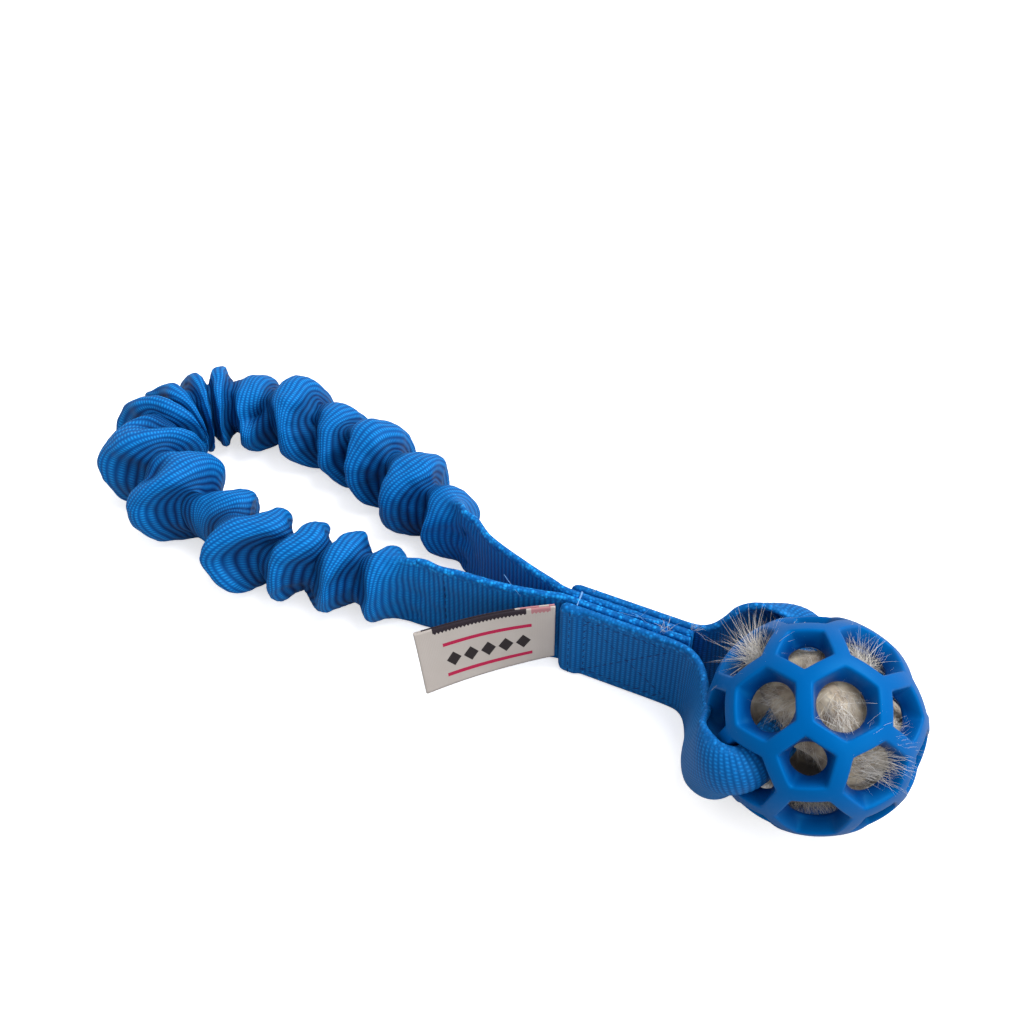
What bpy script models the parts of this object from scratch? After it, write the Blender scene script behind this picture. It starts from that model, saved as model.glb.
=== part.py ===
"""Dog tug toy: a rubber lattice ball with fur inside, on a webbing strap, sewn to a gathered elastic handle.

Metres, +Z up. The sewn neck stands on edge along X. The origin is on the floor, under the middle of the
neck's front sleeve tail. The ball lies at +X and the handle loop at -X.
"""

import math

import bmesh
import bpy
from mathutils import Matrix, Vector

# Webbing: one width for the strap and for the flattened tubular sleeve
WEBBING_WIDTH = 0.025
PLY_THICKNESS = 0.0020
TOUCH_GAP = 0.0003
CUT_OVERRUN = 0.002

# Sewn neck
NECK_LENGTH = 0.034
HEM_LENGTH = 0.0045
HEM_THICKNESS = 0.0032

# Thread
THREAD_THICKNESS = 0.0005
THREAD_LINE_WIDTH = 0.0008
BOX_STITCH_INSET = 0.0030
ZIGZAG_STEP = 0.0016
ZIGZAG_DEPTH = 0.0022

# Handle: a tubular sleeve gathered over an elastic cord
HANDLE_REACH = 0.141
LEG_SPREAD = 0.051
TAIL_LENGTH = 0.040
GATHER_SHRINK = 0.0005
SLEEVE_HALF_DEPTH = 0.0120
VALLEY_RADIUS = 0.0092
FLOOR_CUT_DEPTH = 0.0005
BUNGEE_DIAMETER = 0.0066
BORE_CLEARANCE = 0.0003
BUNGEE_END_SETBACK = 0.012

# Ball and its wrapped-in fur
BALL_RADIUS = 0.0254
BALL_WALL = 0.0048
STRUT_WIDTH = 0.0038
WINDOW_EDGE_ROUNDING = 0.0005
BALL_AHEAD = 0.0348
BALL_ASIDE = 0.01225
BALL_ROLL = math.radians(17.2)
BALL_YAW = math.radians(3.9)
FUR_THICKNESS = 0.0130
FUR_WIDTH = 0.0310
FUR_CLEARANCE = 0.0005
FUR_ARC = math.radians(126)
FUR_APART = math.radians(9)

# Label, a folded tape sewn in under the strap's front hem
LABEL_LENGTH = 0.0344
LABEL_HEIGHT = 0.0190
LABEL_THICKNESS = 0.0007
LABEL_DROP = 0.0039
LABEL_TOP_INSET = 0.0008
LABEL_LEAVES_AT = math.radians(222)
LABEL_LEAN = math.radians(16.5)

# Seams, and where the handle swings from
ANCHOR_INSET = 0.008
HANDLE_SWING_SETBACK = 0.018

# How finely curved pieces are divided
RING_POINTS = 16
STRIP_POINTS = 9
FUR_RINGS = 12
LABEL_RINGS = 6
BORE_RESOLUTION = 2
CORD_RESOLUTION = 3
THREAD_RESOLUTION = 1
ROUTE_STEP = 0.0024
FOLD_STEP = 0.0024
CORD_STEP = 0.0040
WELD_SHARE = 0.01

# The handle's centre line on the floor, from the front tail round the bend to the back tail, as shares of
# HANDLE_REACH back from the neck and of LEG_SPREAD aside from the front tail.
HANDLE_ROUTE_SHARES = (
    (0.035, -0.024), (0.106, -0.063), (0.191, -0.082), (0.270, -0.102), (0.355, -0.106), (0.435, -0.137),
    (0.518, -0.173), (0.621, -0.173), (0.716, -0.133), (0.809, -0.051), (0.887, 0.029), (0.952, 0.150),
    (0.987, 0.314), (0.996, 0.490), (0.974, 0.647), (0.925, 0.765), (0.858, 0.818), (0.794, 0.833),
    (0.730, 0.829), (0.638, 0.778), (0.541, 0.706), (0.424, 0.557), (0.348, 0.480), (0.298, 0.410),
    (0.241, 0.304), (0.182, 0.204), (0.092, 0.115), (0.035, 0.071),
)

# The sleeve's gathers as photographed: place along the gathered length, height, depth, and how far each
# fold stands to the outside of the loop. The last three are shares of the sleeve's half height or depth.
GATHER_SHARES = (
    (0.044, 0.97, 0.97, 0.00), (0.093, 1.05, 1.05, 0.00), (0.143, 1.05, 1.05, 0.00),
    (0.204, 0.98, 1.00, 0.02), (0.262, 0.92, 1.00, -0.08), (0.320, 1.08, 1.15, 0.08),
    (0.417, 1.10, 1.36, 0.14), (0.469, 1.05, 1.28, 0.12), (0.515, 1.00, 1.22, 0.16),
    (0.560, 1.04, 1.05, -0.04), (0.594, 1.02, 1.05, 0.10), (0.621, 0.92, 0.95, -0.05),
    (0.697, 1.10, 1.10, 0.00), (0.753, 0.96, 0.95, 0.00), (0.813, 1.10, 1.05, 0.00),
    (0.890, 1.08, 1.10, 0.04), (0.966, 0.88, 0.92, 0.05),
)
GRIP_AFTER_FOLD = 5
GRIP_LAST_FOLD = 12

# The gathers swell quickly out of the valleys and open out of the flat tails over this length.
FOLD_FULLNESS_POWER = 0.55
TAIL_OPENING_LENGTH = 0.011

# The middle line of the strap's section, between the neck and its windows in the ball, as shares of the
# ball's radius from the ball's centre: ahead, aside, up. Last, how far the webbing is curled into a tube.
FRONT_BRANCH_SHARES = (
    (-1.275, 0.375, -0.507, 0.00), (-1.154, 0.167, -0.488, 0.02), (-1.126, -0.108, -0.449, 0.05),
    (-1.067, -0.404, -0.350, 0.12), (-0.930, -0.670, -0.210, 0.28), (-0.800, -0.880, -0.070, 0.50),
    (-0.680, -1.000, 0.050, 0.75), (-0.516, -1.012, 0.120, 0.95),
)
BACK_BRANCH_SHARES = (
    (-0.391, 1.082, 0.105, 0.95), (-0.575, 1.070, 0.060, 0.70), (-0.800, 0.950, -0.070, 0.35),
    (-1.020, 0.810, -0.270, 0.12), (-1.213, 0.718, -0.469, 0.03), (-1.291, 0.667, -0.504, 0.00),
)
INSIDE_SAG_SHARE = 0.16
INSIDE_CURL_SHARE = 0.85
FLAT_CURL_SHARE = 0.01
UPRIGHT_CURL_SHARE = 0.40
CRUMPLE_SHARE = 0.14
FULL_CURL = math.radians(338)
BALL_WINDOW_ANGLE = math.radians(138.19)
CUT_ICOSAHEDRON_PERCENT = 100 / 3

# The pads of fur keep a blunt tip and swell quickly to their full section.
FUR_TIP_SHARE = 0.16
FUR_SWELL_POWER = 0.5
SMOOTH_UNDER = math.radians(50)


def clear_scene():
    for obj in list(bpy.data.objects):
        bpy.data.objects.remove(obj, do_unlink=True)


def new_collection(name):
    collection = bpy.data.collections.new(name)
    bpy.context.scene.collection.children.link(collection)
    return collection


def principled(name, colour, roughness):
    material = bpy.data.materials.new(name)
    material.use_nodes = True
    shader = material.node_tree.nodes["Principled BSDF"]
    shader.inputs["Base Color"].default_value = (*colour, 1.0)
    shader.inputs["Roughness"].default_value = roughness
    shader.inputs["Metallic"].default_value = 0.0
    return material


def axis_empty(name, location):
    """The empty that a moving piece hangs on, placed on its joint's axis."""
    empty = bpy.data.objects.new(name, None)
    empty.location = location
    parts.objects.link(empty)
    return empty


def add_part(obj, material, parent=None):
    for collection in list(obj.users_collection):
        collection.objects.unlink(obj)
    parts.objects.link(obj)
    obj.data.materials.clear()
    obj.data.materials.append(material)
    if parent:
        bpy.context.view_layer.update()
        obj.parent = parent
        obj.matrix_parent_inverse = parent.matrix_world.inverted()
    return obj


def mesh_object(name, mesh):
    obj = bpy.data.objects.new(name, mesh)
    parts.objects.link(obj)
    return obj


def box(name, size, centre):
    mesh = bpy.data.meshes.new(name)
    bm = bmesh.new()
    bmesh.ops.create_cube(bm, size=1.0)
    bmesh.ops.scale(bm, vec=size, verts=bm.verts)
    bm.to_mesh(mesh)
    bm.free()
    obj = mesh_object(name, mesh)
    obj.location = centre
    return obj


def loft(name, rings):
    """Skin rings that hold the same count of points, and close both ends."""
    bm = bmesh.new()
    rows = [[bm.verts.new(point) for point in ring] for ring in rings]
    count = len(rings[0])
    for row, following in zip(rows, rows[1:]):
        for i in range(count):
            j = (i + 1) % count
            bm.faces.new((row[i], row[j], following[j], following[i]))
    bm.faces.new(list(reversed(rows[0])))
    bm.faces.new(rows[-1])
    bmesh.ops.triangulate(bm, faces=[f for f in bm.faces if len(f.verts) > 4])
    bmesh.ops.recalc_face_normals(bm, faces=bm.faces)
    mesh = bpy.data.meshes.new(name)
    bm.to_mesh(mesh)
    bm.free()
    mesh.shade_smooth()
    mesh.set_sharp_from_angle(angle=SMOOTH_UNDER)
    return mesh_object(name, mesh)


def curve_object(name, points):
    """A POLY curve through the points, with filled caps."""
    curve = bpy.data.curves.new(name, "CURVE")
    curve.dimensions = "3D"
    curve.use_fill_caps = True
    spline = curve.splines.new("POLY")
    spline.points.add(len(points) - 1)
    for target, point in zip(spline.points, points):
        target.co = (*point, 1.0)
    obj = bpy.data.objects.new(name, curve)
    parts.objects.link(obj)
    return obj


def round_cord(name, points, diameter, resolution):
    obj = curve_object(name, points)
    obj.data.bevel_depth = diameter / 2
    obj.data.bevel_resolution = resolution
    return as_mesh(obj)


def as_mesh(obj):
    """The evaluated object as a plain mesh object with its caps welded."""
    bpy.context.view_layer.update()
    graph = bpy.context.evaluated_depsgraph_get()
    mesh = bpy.data.meshes.new_from_object(obj.evaluated_get(graph))
    bm = bmesh.new()
    bm.from_mesh(mesh)
    bmesh.ops.remove_doubles(bm, verts=bm.verts, dist=TOUCH_GAP * WELD_SHARE)
    bmesh.ops.recalc_face_normals(bm, faces=bm.faces)
    bm.to_mesh(mesh)
    bm.free()
    solid = bpy.data.objects.new(obj.name, mesh)
    solid.matrix_world = obj.matrix_world
    name = obj.name
    bpy.data.objects.remove(obj, do_unlink=True)
    solid.name = name
    parts.objects.link(solid)
    return solid


def ribbon(name, points, width, thickness):
    """A flat strap standing on edge along points on the floor plan."""
    curve = curve_object(name, [Vector((p.x, p.y, 0)) for p in points])
    curve.data.dimensions = "2D"
    curve.data.fill_mode = "NONE"
    curve.data.extrude = width / 2
    curve.location.z = width / 2
    strip = as_mesh(curve)
    solidify = strip.modifiers.new("thickness", "SOLIDIFY")
    solidify.thickness = thickness
    solidify.offset = 0.0
    solidify.use_even_offset = True
    return strip


def flat_outline(name, loops, thickness):
    """A flat plate from one outer loop and its holes, centred on its own XY plane."""
    curve = bpy.data.curves.new(name, "CURVE")
    curve.dimensions = "2D"
    curve.fill_mode = "BOTH"
    curve.extrude = thickness / 2
    for loop in loops:
        spline = curve.splines.new("POLY")
        spline.points.add(len(loop) - 1)
        for target, (x, y) in zip(spline.points, loop):
            target.co = (x, y, 0.0, 1.0)
        spline.use_cyclic_u = True
    obj = bpy.data.objects.new(name, curve)
    parts.objects.link(obj)
    return obj


def cutter(obj):
    cutters.objects.link(obj)
    parts.objects.unlink(obj)
    obj.hide_render = True
    obj.display_type = "WIRE"
    return obj


def cut_away(obj, tool):
    boolean = obj.modifiers.new("bore", "BOOLEAN")
    boolean.operation = "DIFFERENCE"
    boolean.object = tool


def catmull_rom(points, step):
    """A smooth curve through the points, with a point about every step."""
    points = [Vector(p) for p in points]
    ends = [points[0] * 2 - points[1]] + points + [points[-1] * 2 - points[-2]]
    curve = []
    for before, start, end, after in zip(ends, ends[1:], ends[2:], ends[3:]):
        pieces = max(2, math.ceil((end.xyz - start.xyz).length / step))
        for i in range(pieces):
            t = i / pieces
            curve.append(
                0.5 * (2 * start + (end - before) * t
                       + (2 * before - 5 * start + 4 * end - after) * t ** 2
                       + (3 * start - before - 3 * end + after) * t ** 3)
            )
    curve.append(points[-1])
    return curve


class Route:
    """A curve that gives its point and direction at a length from its start."""

    def __init__(self, points):
        self.points = points
        self.lengths = [0.0]
        for a, b in zip(points, points[1:]):
            self.lengths.append(self.lengths[-1] + (b.xyz - a.xyz).length)
        self.total = self.lengths[-1]

    def at(self, length):
        length = min(max(length, 0.0), self.total)
        i = 1
        while i < len(self.lengths) - 1 and self.lengths[i] < length:
            i += 1
        span = self.lengths[i] - self.lengths[i - 1]
        share = (length - self.lengths[i - 1]) / span
        return self.points[i - 1].lerp(self.points[i], share)

    def direction(self, length):
        ahead, behind = self.at(length + ROUTE_STEP / 2), self.at(length - ROUTE_STEP / 2)
        return (ahead.xyz - behind.xyz).normalized()

    def between(self, start, end, step):
        """The points at the ends of a span, and at whole steps of the route between them."""
        first, last = math.ceil(start / step + 0.5), math.floor(end / step - 0.5)
        return [self.at(length) for length in [start] + [i * step for i in range(first, last + 1)] + [end]]


# Places worked out from the sizes above
PLY_PITCH = PLY_THICKNESS + TOUCH_GAP
NECK_BALL_END = NECK_LENGTH / 2
NECK_HANDLE_END = -NECK_LENGTH / 2
STACK_MIDDLE = PLY_PITCH / 2
FRONT_PLY_Y = -PLY_PITCH
BACK_TAIL_Y = PLY_PITCH
BACK_PLY_Y = 2 * PLY_PITCH
HEM_FACE_Y = FRONT_PLY_Y + PLY_THICKNESS / 2 - HEM_THICKNESS
BALL_CENTRE = Vector((NECK_BALL_END + BALL_AHEAD, -BALL_ASIDE, BALL_RADIUS))
SLEEVE_HALF_HEIGHT = WEBBING_WIDTH / 2 - GATHER_SHRINK
SLEEVE_CENTRE_HEIGHT = SLEEVE_HALF_HEIGHT - FLOOR_CUT_DEPTH
LABEL_ROOT = Vector((NECK_HANDLE_END - TOUCH_GAP - LABEL_THICKNESS, HEM_FACE_Y + HEM_THICKNESS / 2, 0))
UP = Vector((0, 0, 1))


def handle_route():
    """The handle's centre line on the floor plan, from inside the neck and back into it."""
    front = Vector((NECK_HANDLE_END, 0, 0))
    back = Vector((NECK_HANDLE_END, BACK_TAIL_Y, 0))
    outer = [
        Vector((NECK_HANDLE_END - reach * HANDLE_REACH, aside * LEG_SPREAD, 0))
        for reach, aside in HANDLE_ROUTE_SHARES
    ]
    return Route(catmull_rom([front] + outer + [back], ROUTE_STEP))


def ball_directions():
    """The strap's chord through the ball, the side of it towards the neck, and the two windows it uses."""
    chord = Vector((math.sin(BALL_YAW), math.cos(BALL_YAW), 0))
    level = Vector((-chord.y, chord.x, 0))
    neckward = level * math.cos(BALL_ROLL) + UP * math.sin(BALL_ROLL)
    half = BALL_WINDOW_ANGLE / 2
    front = neckward * math.cos(half) - chord * math.sin(half)
    back = neckward * math.cos(half) + chord * math.sin(half)
    return chord, neckward, front, back


CHORD, NECKWARD, FRONT_WINDOW, BACK_WINDOW = ball_directions()
INNER_RADIUS = BALL_RADIUS - BALL_WALL
CHORD_MIDDLE = BALL_CENTRE + NECKWARD * BALL_RADIUS * math.cos(BALL_WINDOW_ANGLE / 2)


def strap_route():
    """The strap's middle line with its curl, from the neck through the ball and back to the neck."""

    def rows(table):
        return [Vector((*(BALL_CENTRE + Vector(row[:3]) * BALL_RADIUS), row[3])) for row in table]

    def threaded(window, distance):
        return Vector((*(BALL_CENTRE + window * distance), 1.0))

    start = NECK_BALL_END + TOUCH_GAP
    middle = CHORD_MIDDLE - NECKWARD * BALL_RADIUS * INSIDE_SAG_SHARE
    points = [Vector((start, FRONT_PLY_Y, WEBBING_WIDTH / 2, 0.0))] + rows(FRONT_BRANCH_SHARES)
    points += [threaded(FRONT_WINDOW, BALL_RADIUS), threaded(FRONT_WINDOW, INNER_RADIUS)]
    points += [Vector((*middle, INSIDE_CURL_SHARE))]
    points += [threaded(BACK_WINDOW, INNER_RADIUS), threaded(BACK_WINDOW, BALL_RADIUS)]
    points += rows(BACK_BRANCH_SHARES) + [Vector((start, BACK_PLY_Y, WEBBING_WIDTH / 2, 0.0))]
    return Route(catmull_rom(points, ROUTE_STEP))


def strap_ring(centre, direction, curl):
    """The strap's section centred on a point: a band bent round an arc, its edges turned inwards."""
    curl = min(max(curl, FLAT_CURL_SHARE), 1.0)
    lean = UP.dot(direction) * min(1.0, curl / UPRIGHT_CURL_SHARE)
    up = (UP - direction * lean).normalized()
    out = direction.cross(up).normalized()
    half_angle = FULL_CURL / 2 * curl
    radius = WEBBING_WIDTH * (1 - CRUMPLE_SHARE * curl) / 2 / half_angle
    arc_centre = centre - out * radius * math.sin(half_angle) / half_angle
    ring = []
    for face in (1, -1):
        for i in range(STRIP_POINTS):
            angle = half_angle * face * (2 * i / (STRIP_POINTS - 1) - 1)
            spoke = out * math.cos(angle) + up * math.sin(angle)
            point = arc_centre + spoke * (radius + face * PLY_THICKNESS / 2)
            ring.append(Vector((point.x, point.y, max(0.0, point.z))))
    return ring


def make_strap():
    """The one strap, in the three pieces that the seam and the joint divide it into."""
    route = strap_route()
    rings = []
    for point, length in zip(route.points, route.lengths):
        rings.append(strap_ring(point.xyz, route.direction(length), point.w))
    rings[0] = strap_ring(route.points[0].xyz, Vector((1, 0, 0)), 0.0)
    rings[-1] = strap_ring(route.points[-1].xyz, Vector((-1, 0, 0)), 0.0)
    add_part(loft("strap_loop", rings), STRAP_BLUE, ball_swing_axis)

    near_face = FRONT_PLY_Y - PLY_THICKNESS / 2
    hem_radius = HEM_THICKNESS / 2
    hem_middle = FRONT_PLY_Y + PLY_THICKNESS / 2 - hem_radius
    hem_start = NECK_HANDLE_END + HEM_LENGTH
    outline = [(NECK_BALL_END, near_face), (NECK_BALL_END, FRONT_PLY_Y + PLY_THICKNESS / 2)]
    for i in range(RING_POINTS // 2 + 1):
        angle = math.pi / 2 + math.pi * i / (RING_POINTS // 2)
        outline.append((
            NECK_HANDLE_END + hem_radius * (1 + math.cos(angle)), hem_middle + hem_radius * math.sin(angle),
        ))
    outline += [(hem_start, hem_middle - hem_radius), (hem_start + HEM_THICKNESS - PLY_THICKNESS, near_face)]
    front = flat_outline("strap_end_front", [outline], WEBBING_WIDTH)
    front.location.z = WEBBING_WIDTH / 2
    add_part(front, STRAP_BLUE)
    back_size = (NECK_LENGTH, PLY_THICKNESS, WEBBING_WIDTH)
    add_part(box("strap_end_back", back_size, (0, BACK_PLY_Y, WEBBING_WIDTH / 2)), STRAP_BLUE)


def gather_valleys(length):
    """Where the valleys between the folds lie along the gathered length."""
    places = [row[0] * length for row in GATHER_SHARES]
    return [0.0] + [(a + b) / 2 for a, b in zip(places, places[1:])] + [length]


def sleeve_ring(route, length):
    """The gathered sleeve's section at a length of the handle's route, flattened towards its tails."""
    gathered = route.total - 2 * TAIL_LENGTH
    distance = length - TAIL_LENGTH
    valleys = gather_valleys(gathered)
    fold = 0
    while fold < len(GATHER_SHARES) - 1 and distance > valleys[fold + 1]:
        fold += 1
    place = min(max((distance - valleys[fold]) / (valleys[fold + 1] - valleys[fold]), 0.0), 1.0)
    fullness = max(0.0, math.sin(math.pi * place)) ** FOLD_FULLNESS_POWER
    _, height, depth, out = GATHER_SHARES[fold]
    half_height = VALLEY_RADIUS + (SLEEVE_HALF_HEIGHT * height - VALLEY_RADIUS) * fullness
    half_depth = VALLEY_RADIUS + (SLEEVE_HALF_DEPTH * depth - VALLEY_RADIUS) * fullness
    centre_height = SLEEVE_CENTRE_HEIGHT + SLEEVE_HALF_HEIGHT * (height - 1) * fullness
    opened = min(1.0, min(distance, gathered - distance) / TAIL_OPENING_LENGTH)
    opened = opened * opened * (3 - 2 * opened)
    half_height = WEBBING_WIDTH / 2 + (half_height - WEBBING_WIDTH / 2) * opened
    half_depth = PLY_THICKNESS + (half_depth - PLY_THICKNESS) * opened
    centre_height = WEBBING_WIDTH / 2 + (centre_height - WEBBING_WIDTH / 2) * opened
    direction = route.direction(length)
    side = Vector((-direction.y, direction.x, 0)).normalized()
    centre = route.at(length) + side * out * SLEEVE_HALF_DEPTH * fullness * opened
    ring = []
    for i in range(RING_POINTS):
        angle = 2 * math.pi * i / RING_POINTS
        point = centre + side * math.cos(angle) * half_depth
        point.z = max(0.0, centre_height + math.sin(angle) * half_height)
        ring.append(point)
    return ring


def make_sleeve(route):
    """The tubular sleeve: flat tails in the neck, gathered legs and the gathered grip bend."""
    back_start = route.total - TAIL_LENGTH
    valleys = gather_valleys(back_start - TAIL_LENGTH)
    grip_start = TAIL_LENGTH + valleys[GRIP_AFTER_FOLD]
    grip_end = TAIL_LENGTH + valleys[GRIP_LAST_FOLD]
    spans = {
        "sleeve_leg_front": (TAIL_LENGTH + TOUCH_GAP, grip_start - TOUCH_GAP / 2),
        "sleeve_grip": (grip_start + TOUCH_GAP / 2, grip_end - TOUCH_GAP / 2),
        "sleeve_leg_back": (grip_end + TOUCH_GAP / 2, back_start - TOUCH_GAP),
    }
    core_start = TAIL_LENGTH + BUNGEE_END_SETBACK
    core_end = route.total - core_start
    bore_radius = BUNGEE_DIAMETER / 2 + BORE_CLEARANCE
    for name, (start, end) in spans.items():
        steps = max(2, round((end - start) / FOLD_STEP))
        rings = [sleeve_ring(route, start + (end - start) * i / steps) for i in range(steps + 1)]
        sleeve = loft(name, rings)
        bore_start = core_start - TOUCH_GAP if start < core_start else start - CUT_OVERRUN
        bore_end = core_end + TOUCH_GAP if end > core_end else end + CUT_OVERRUN
        path = [p + UP * SLEEVE_CENTRE_HEIGHT for p in route.between(bore_start, bore_end, CORD_STEP)]
        tool = cutter(round_cord(name + "_bore", path, bore_radius * 2, BORE_RESOLUTION))
        cut_away(sleeve, tool)
        add_part(sleeve, SLEEVE_BLUE, grip_axis if name == "sleeve_grip" else handle_swing_axis)

    cores = {
        "bungee_leg_front": (core_start, grip_start - TOUCH_GAP / 2),
        "bungee_grip": (grip_start + TOUCH_GAP / 2, grip_end - TOUCH_GAP / 2),
        "bungee_leg_back": (grip_end + TOUCH_GAP / 2, core_end),
    }
    for name, (start, end) in cores.items():
        path = [p + UP * SLEEVE_CENTRE_HEIGHT for p in route.between(start, end, CORD_STEP)]
        core = round_cord(name, path, BUNGEE_DIAMETER, CORD_RESOLUTION)
        core.data.shade_smooth()
        core.data.set_sharp_from_angle(angle=SMOOTH_UNDER)
        add_part(core, BUNGEE_BLACK, grip_axis if name == "bungee_grip" else handle_swing_axis)

    tails = {
        "sleeve_tail_front": [Vector((NECK_BALL_END, 0, 0))] + route.between(0, TAIL_LENGTH, CORD_STEP),
        "sleeve_tail_back": [Vector((NECK_BALL_END, BACK_TAIL_Y, 0))]
        + list(reversed(route.between(back_start, route.total, CORD_STEP))),
    }
    for name, points in tails.items():
        add_part(ribbon(name, points, WEBBING_WIDTH, PLY_THICKNESS), SLEEVE_BLUE)


def lattice_mesh():
    """A truncated icosahedron of struts on the ball's sphere, turned so two windows face the strap."""
    bm = bmesh.new()
    bmesh.ops.create_icosphere(bm, subdivisions=1, radius=1.0)
    bm.normal_update()
    hexagons = [face.calc_center_median().normalized() for face in bm.faces]
    first = hexagons[0]
    second = min(hexagons, key=lambda n: abs(n.angle(first) - BALL_WINDOW_ANGLE))
    bmesh.ops.bevel(
        bm, geom=list(bm.verts), offset=CUT_ICOSAHEDRON_PERCENT, offset_type="PERCENT", affect="VERTICES",
        segments=1, clamp_overlap=False,
    )
    bmesh.ops.remove_doubles(bm, verts=bm.verts, dist=TOUCH_GAP)
    for vert in bm.verts:
        vert.co = vert.co.normalized() * BALL_RADIUS
    windows = list(bm.faces)
    bmesh.ops.inset_individual(bm, faces=windows, thickness=STRUT_WIDTH / 2, use_even_offset=True)
    bmesh.ops.delete(bm, geom=windows, context="FACES")
    bmesh.ops.subdivide_edges(bm, edges=list(bm.edges), cuts=1, use_grid_fill=True)
    for vert in bm.verts:
        vert.co = vert.co.normalized() * BALL_RADIUS

    chord = (second - first).normalized()
    neckward = (second + first).normalized()
    here = Matrix((chord, neckward, chord.cross(neckward)))
    there = Matrix((CHORD, NECKWARD, CHORD.cross(NECKWARD))).transposed()
    bmesh.ops.transform(bm, matrix=(there @ here).to_4x4(), verts=bm.verts)
    bmesh.ops.recalc_face_normals(bm, faces=bm.faces)
    mesh = bpy.data.meshes.new("ball")
    bm.to_mesh(mesh)
    bm.free()
    mesh.shade_smooth()
    return mesh


def make_ball():
    ball = mesh_object("ball", lattice_mesh())
    ball.location = BALL_CENTRE
    wall = ball.modifiers.new("wall", "SOLIDIFY")
    wall.thickness = BALL_WALL
    wall.offset = -1.0
    wall.use_even_offset = True
    edges = ball.modifiers.new("window_edges", "BEVEL")
    edges.width = WINDOW_EDGE_ROUNDING
    edges.segments = 1
    edges.limit_method = "ANGLE"
    edges.angle_limit = math.radians(50)
    add_part(ball, BALL_BLUE, ball_turn_axis)


def make_fur():
    """Two strips of pelt packed round the inside of the ball, clear of the strap."""
    across = CHORD.cross(NECKWARD).normalized()
    outer_radius = INNER_RADIUS - FUR_CLEARANCE
    first = math.pi - FUR_APART - FUR_ARC
    for name, side in (("fur_strip_upper", 1), ("fur_strip_lower", -1)):
        rings = []
        for i in range(FUR_RINGS + 1):
            share = i / FUR_RINGS
            swell = max(FUR_TIP_SHARE, math.sin(math.pi * share)) ** FUR_SWELL_POWER
            angle = side * (first + FUR_ARC * share)
            radial = NECKWARD * math.cos(angle) + across * math.sin(angle)
            ring = []
            for j in range(RING_POINTS):
                turn = 2 * math.pi * j / RING_POINTS
                along = math.sin(turn) * FUR_WIDTH / 2 * swell
                reach = math.sqrt(outer_radius ** 2 - along ** 2) - FUR_THICKNESS * (1 - swell) / 2
                inward = (1 - math.cos(turn)) * FUR_THICKNESS / 2 * swell
                inward -= (1 - abs(math.cos(turn))) * FUR_THICKNESS / 2 * swell
                ring.append(BALL_CENTRE + radial * (reach - inward) + CHORD * along)
            rings.append(ring)
        add_part(loft(name, rings), FUR_CREAM, ball_turn_axis)


def box_stitch_loops():
    """A box with a cross in it, as one outer loop and four three-sided holes."""
    left = NECK_HANDLE_END + HEM_LENGTH + BOX_STITCH_INSET
    right = NECK_BALL_END - BOX_STITCH_INSET
    low = BOX_STITCH_INSET
    high = WEBBING_WIDTH - BOX_STITCH_INSET
    outer = [(left, low), (right, low), (right, high), (left, high)]
    left, right = left + THREAD_LINE_WIDTH, right - THREAD_LINE_WIDTH
    low, high = low + THREAD_LINE_WIDTH, high - THREAD_LINE_WIDTH
    middle_x, middle_z = (left + right) / 2, (low + high) / 2
    slope = math.atan2(high - low, right - left)
    along = THREAD_LINE_WIDTH / 2 / math.sin(slope)
    upward = THREAD_LINE_WIDTH / 2 / math.cos(slope)
    return [
        outer,
        [(left + along, high), (right - along, high), (middle_x, middle_z + upward)],
        [(left + along, low), (middle_x, middle_z - upward), (right - along, low)],
        [(left, low + upward), (left, high - upward), (middle_x - along, middle_z)],
        [(right, low + upward), (middle_x + along, middle_z), (right, high - upward)],
    ]


def zigzag(name, foot, along, out):
    """A zigzag seam up the webbing's width, standing off its face by the touching gap."""
    low = BOX_STITCH_INSET / 2
    count = round((WEBBING_WIDTH - 2 * low) / ZIGZAG_STEP)
    points = []
    for i in range(count + 1):
        swing = ZIGZAG_DEPTH / 2 * (1 if i % 2 else -1)
        height = low + (WEBBING_WIDTH - 2 * low) * i / count
        points.append(foot + along * swing + out * (TOUCH_GAP + THREAD_THICKNESS / 2) + UP * height)
    return round_cord(name, points, THREAD_THICKNESS, THREAD_RESOLUTION)


def make_seams(route):
    """The box stitching through the four plies, the hem's seam and the elastic's anchor seams."""
    faces = {
        "box_stitch_front": FRONT_PLY_Y - PLY_THICKNESS / 2 - TOUCH_GAP - THREAD_THICKNESS / 2,
        "box_stitch_back": BACK_PLY_Y + PLY_THICKNESS / 2 + TOUCH_GAP + THREAD_THICKNESS / 2,
    }
    for name, y in faces.items():
        stitch = flat_outline(name, box_stitch_loops(), THREAD_THICKNESS)
        stitch.rotation_euler = (math.radians(90), 0.0, 0.0)
        stitch.location.y = y
        add_part(stitch, THREAD_BLUE)

    hem_face = Vector((NECK_HANDLE_END + HEM_LENGTH - ZIGZAG_DEPTH / 2 - TOUCH_GAP, HEM_FACE_Y, 0))
    add_part(zigzag("hem_stitch", hem_face, Vector((1, 0, 0)), Vector((0, -1, 0))), THREAD_BLUE)

    for name, length in (
        ("anchor_stitch_front", TAIL_LENGTH - ANCHOR_INSET),
        ("anchor_stitch_back", route.total - TAIL_LENGTH + ANCHOR_INSET),
    ):
        along = route.direction(length)
        out = Vector((-along.y, along.x, 0))
        foot = route.at(length) + out * PLY_THICKNESS / 2
        add_part(zigzag(name, foot, along, out), THREAD_BLUE)


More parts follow.
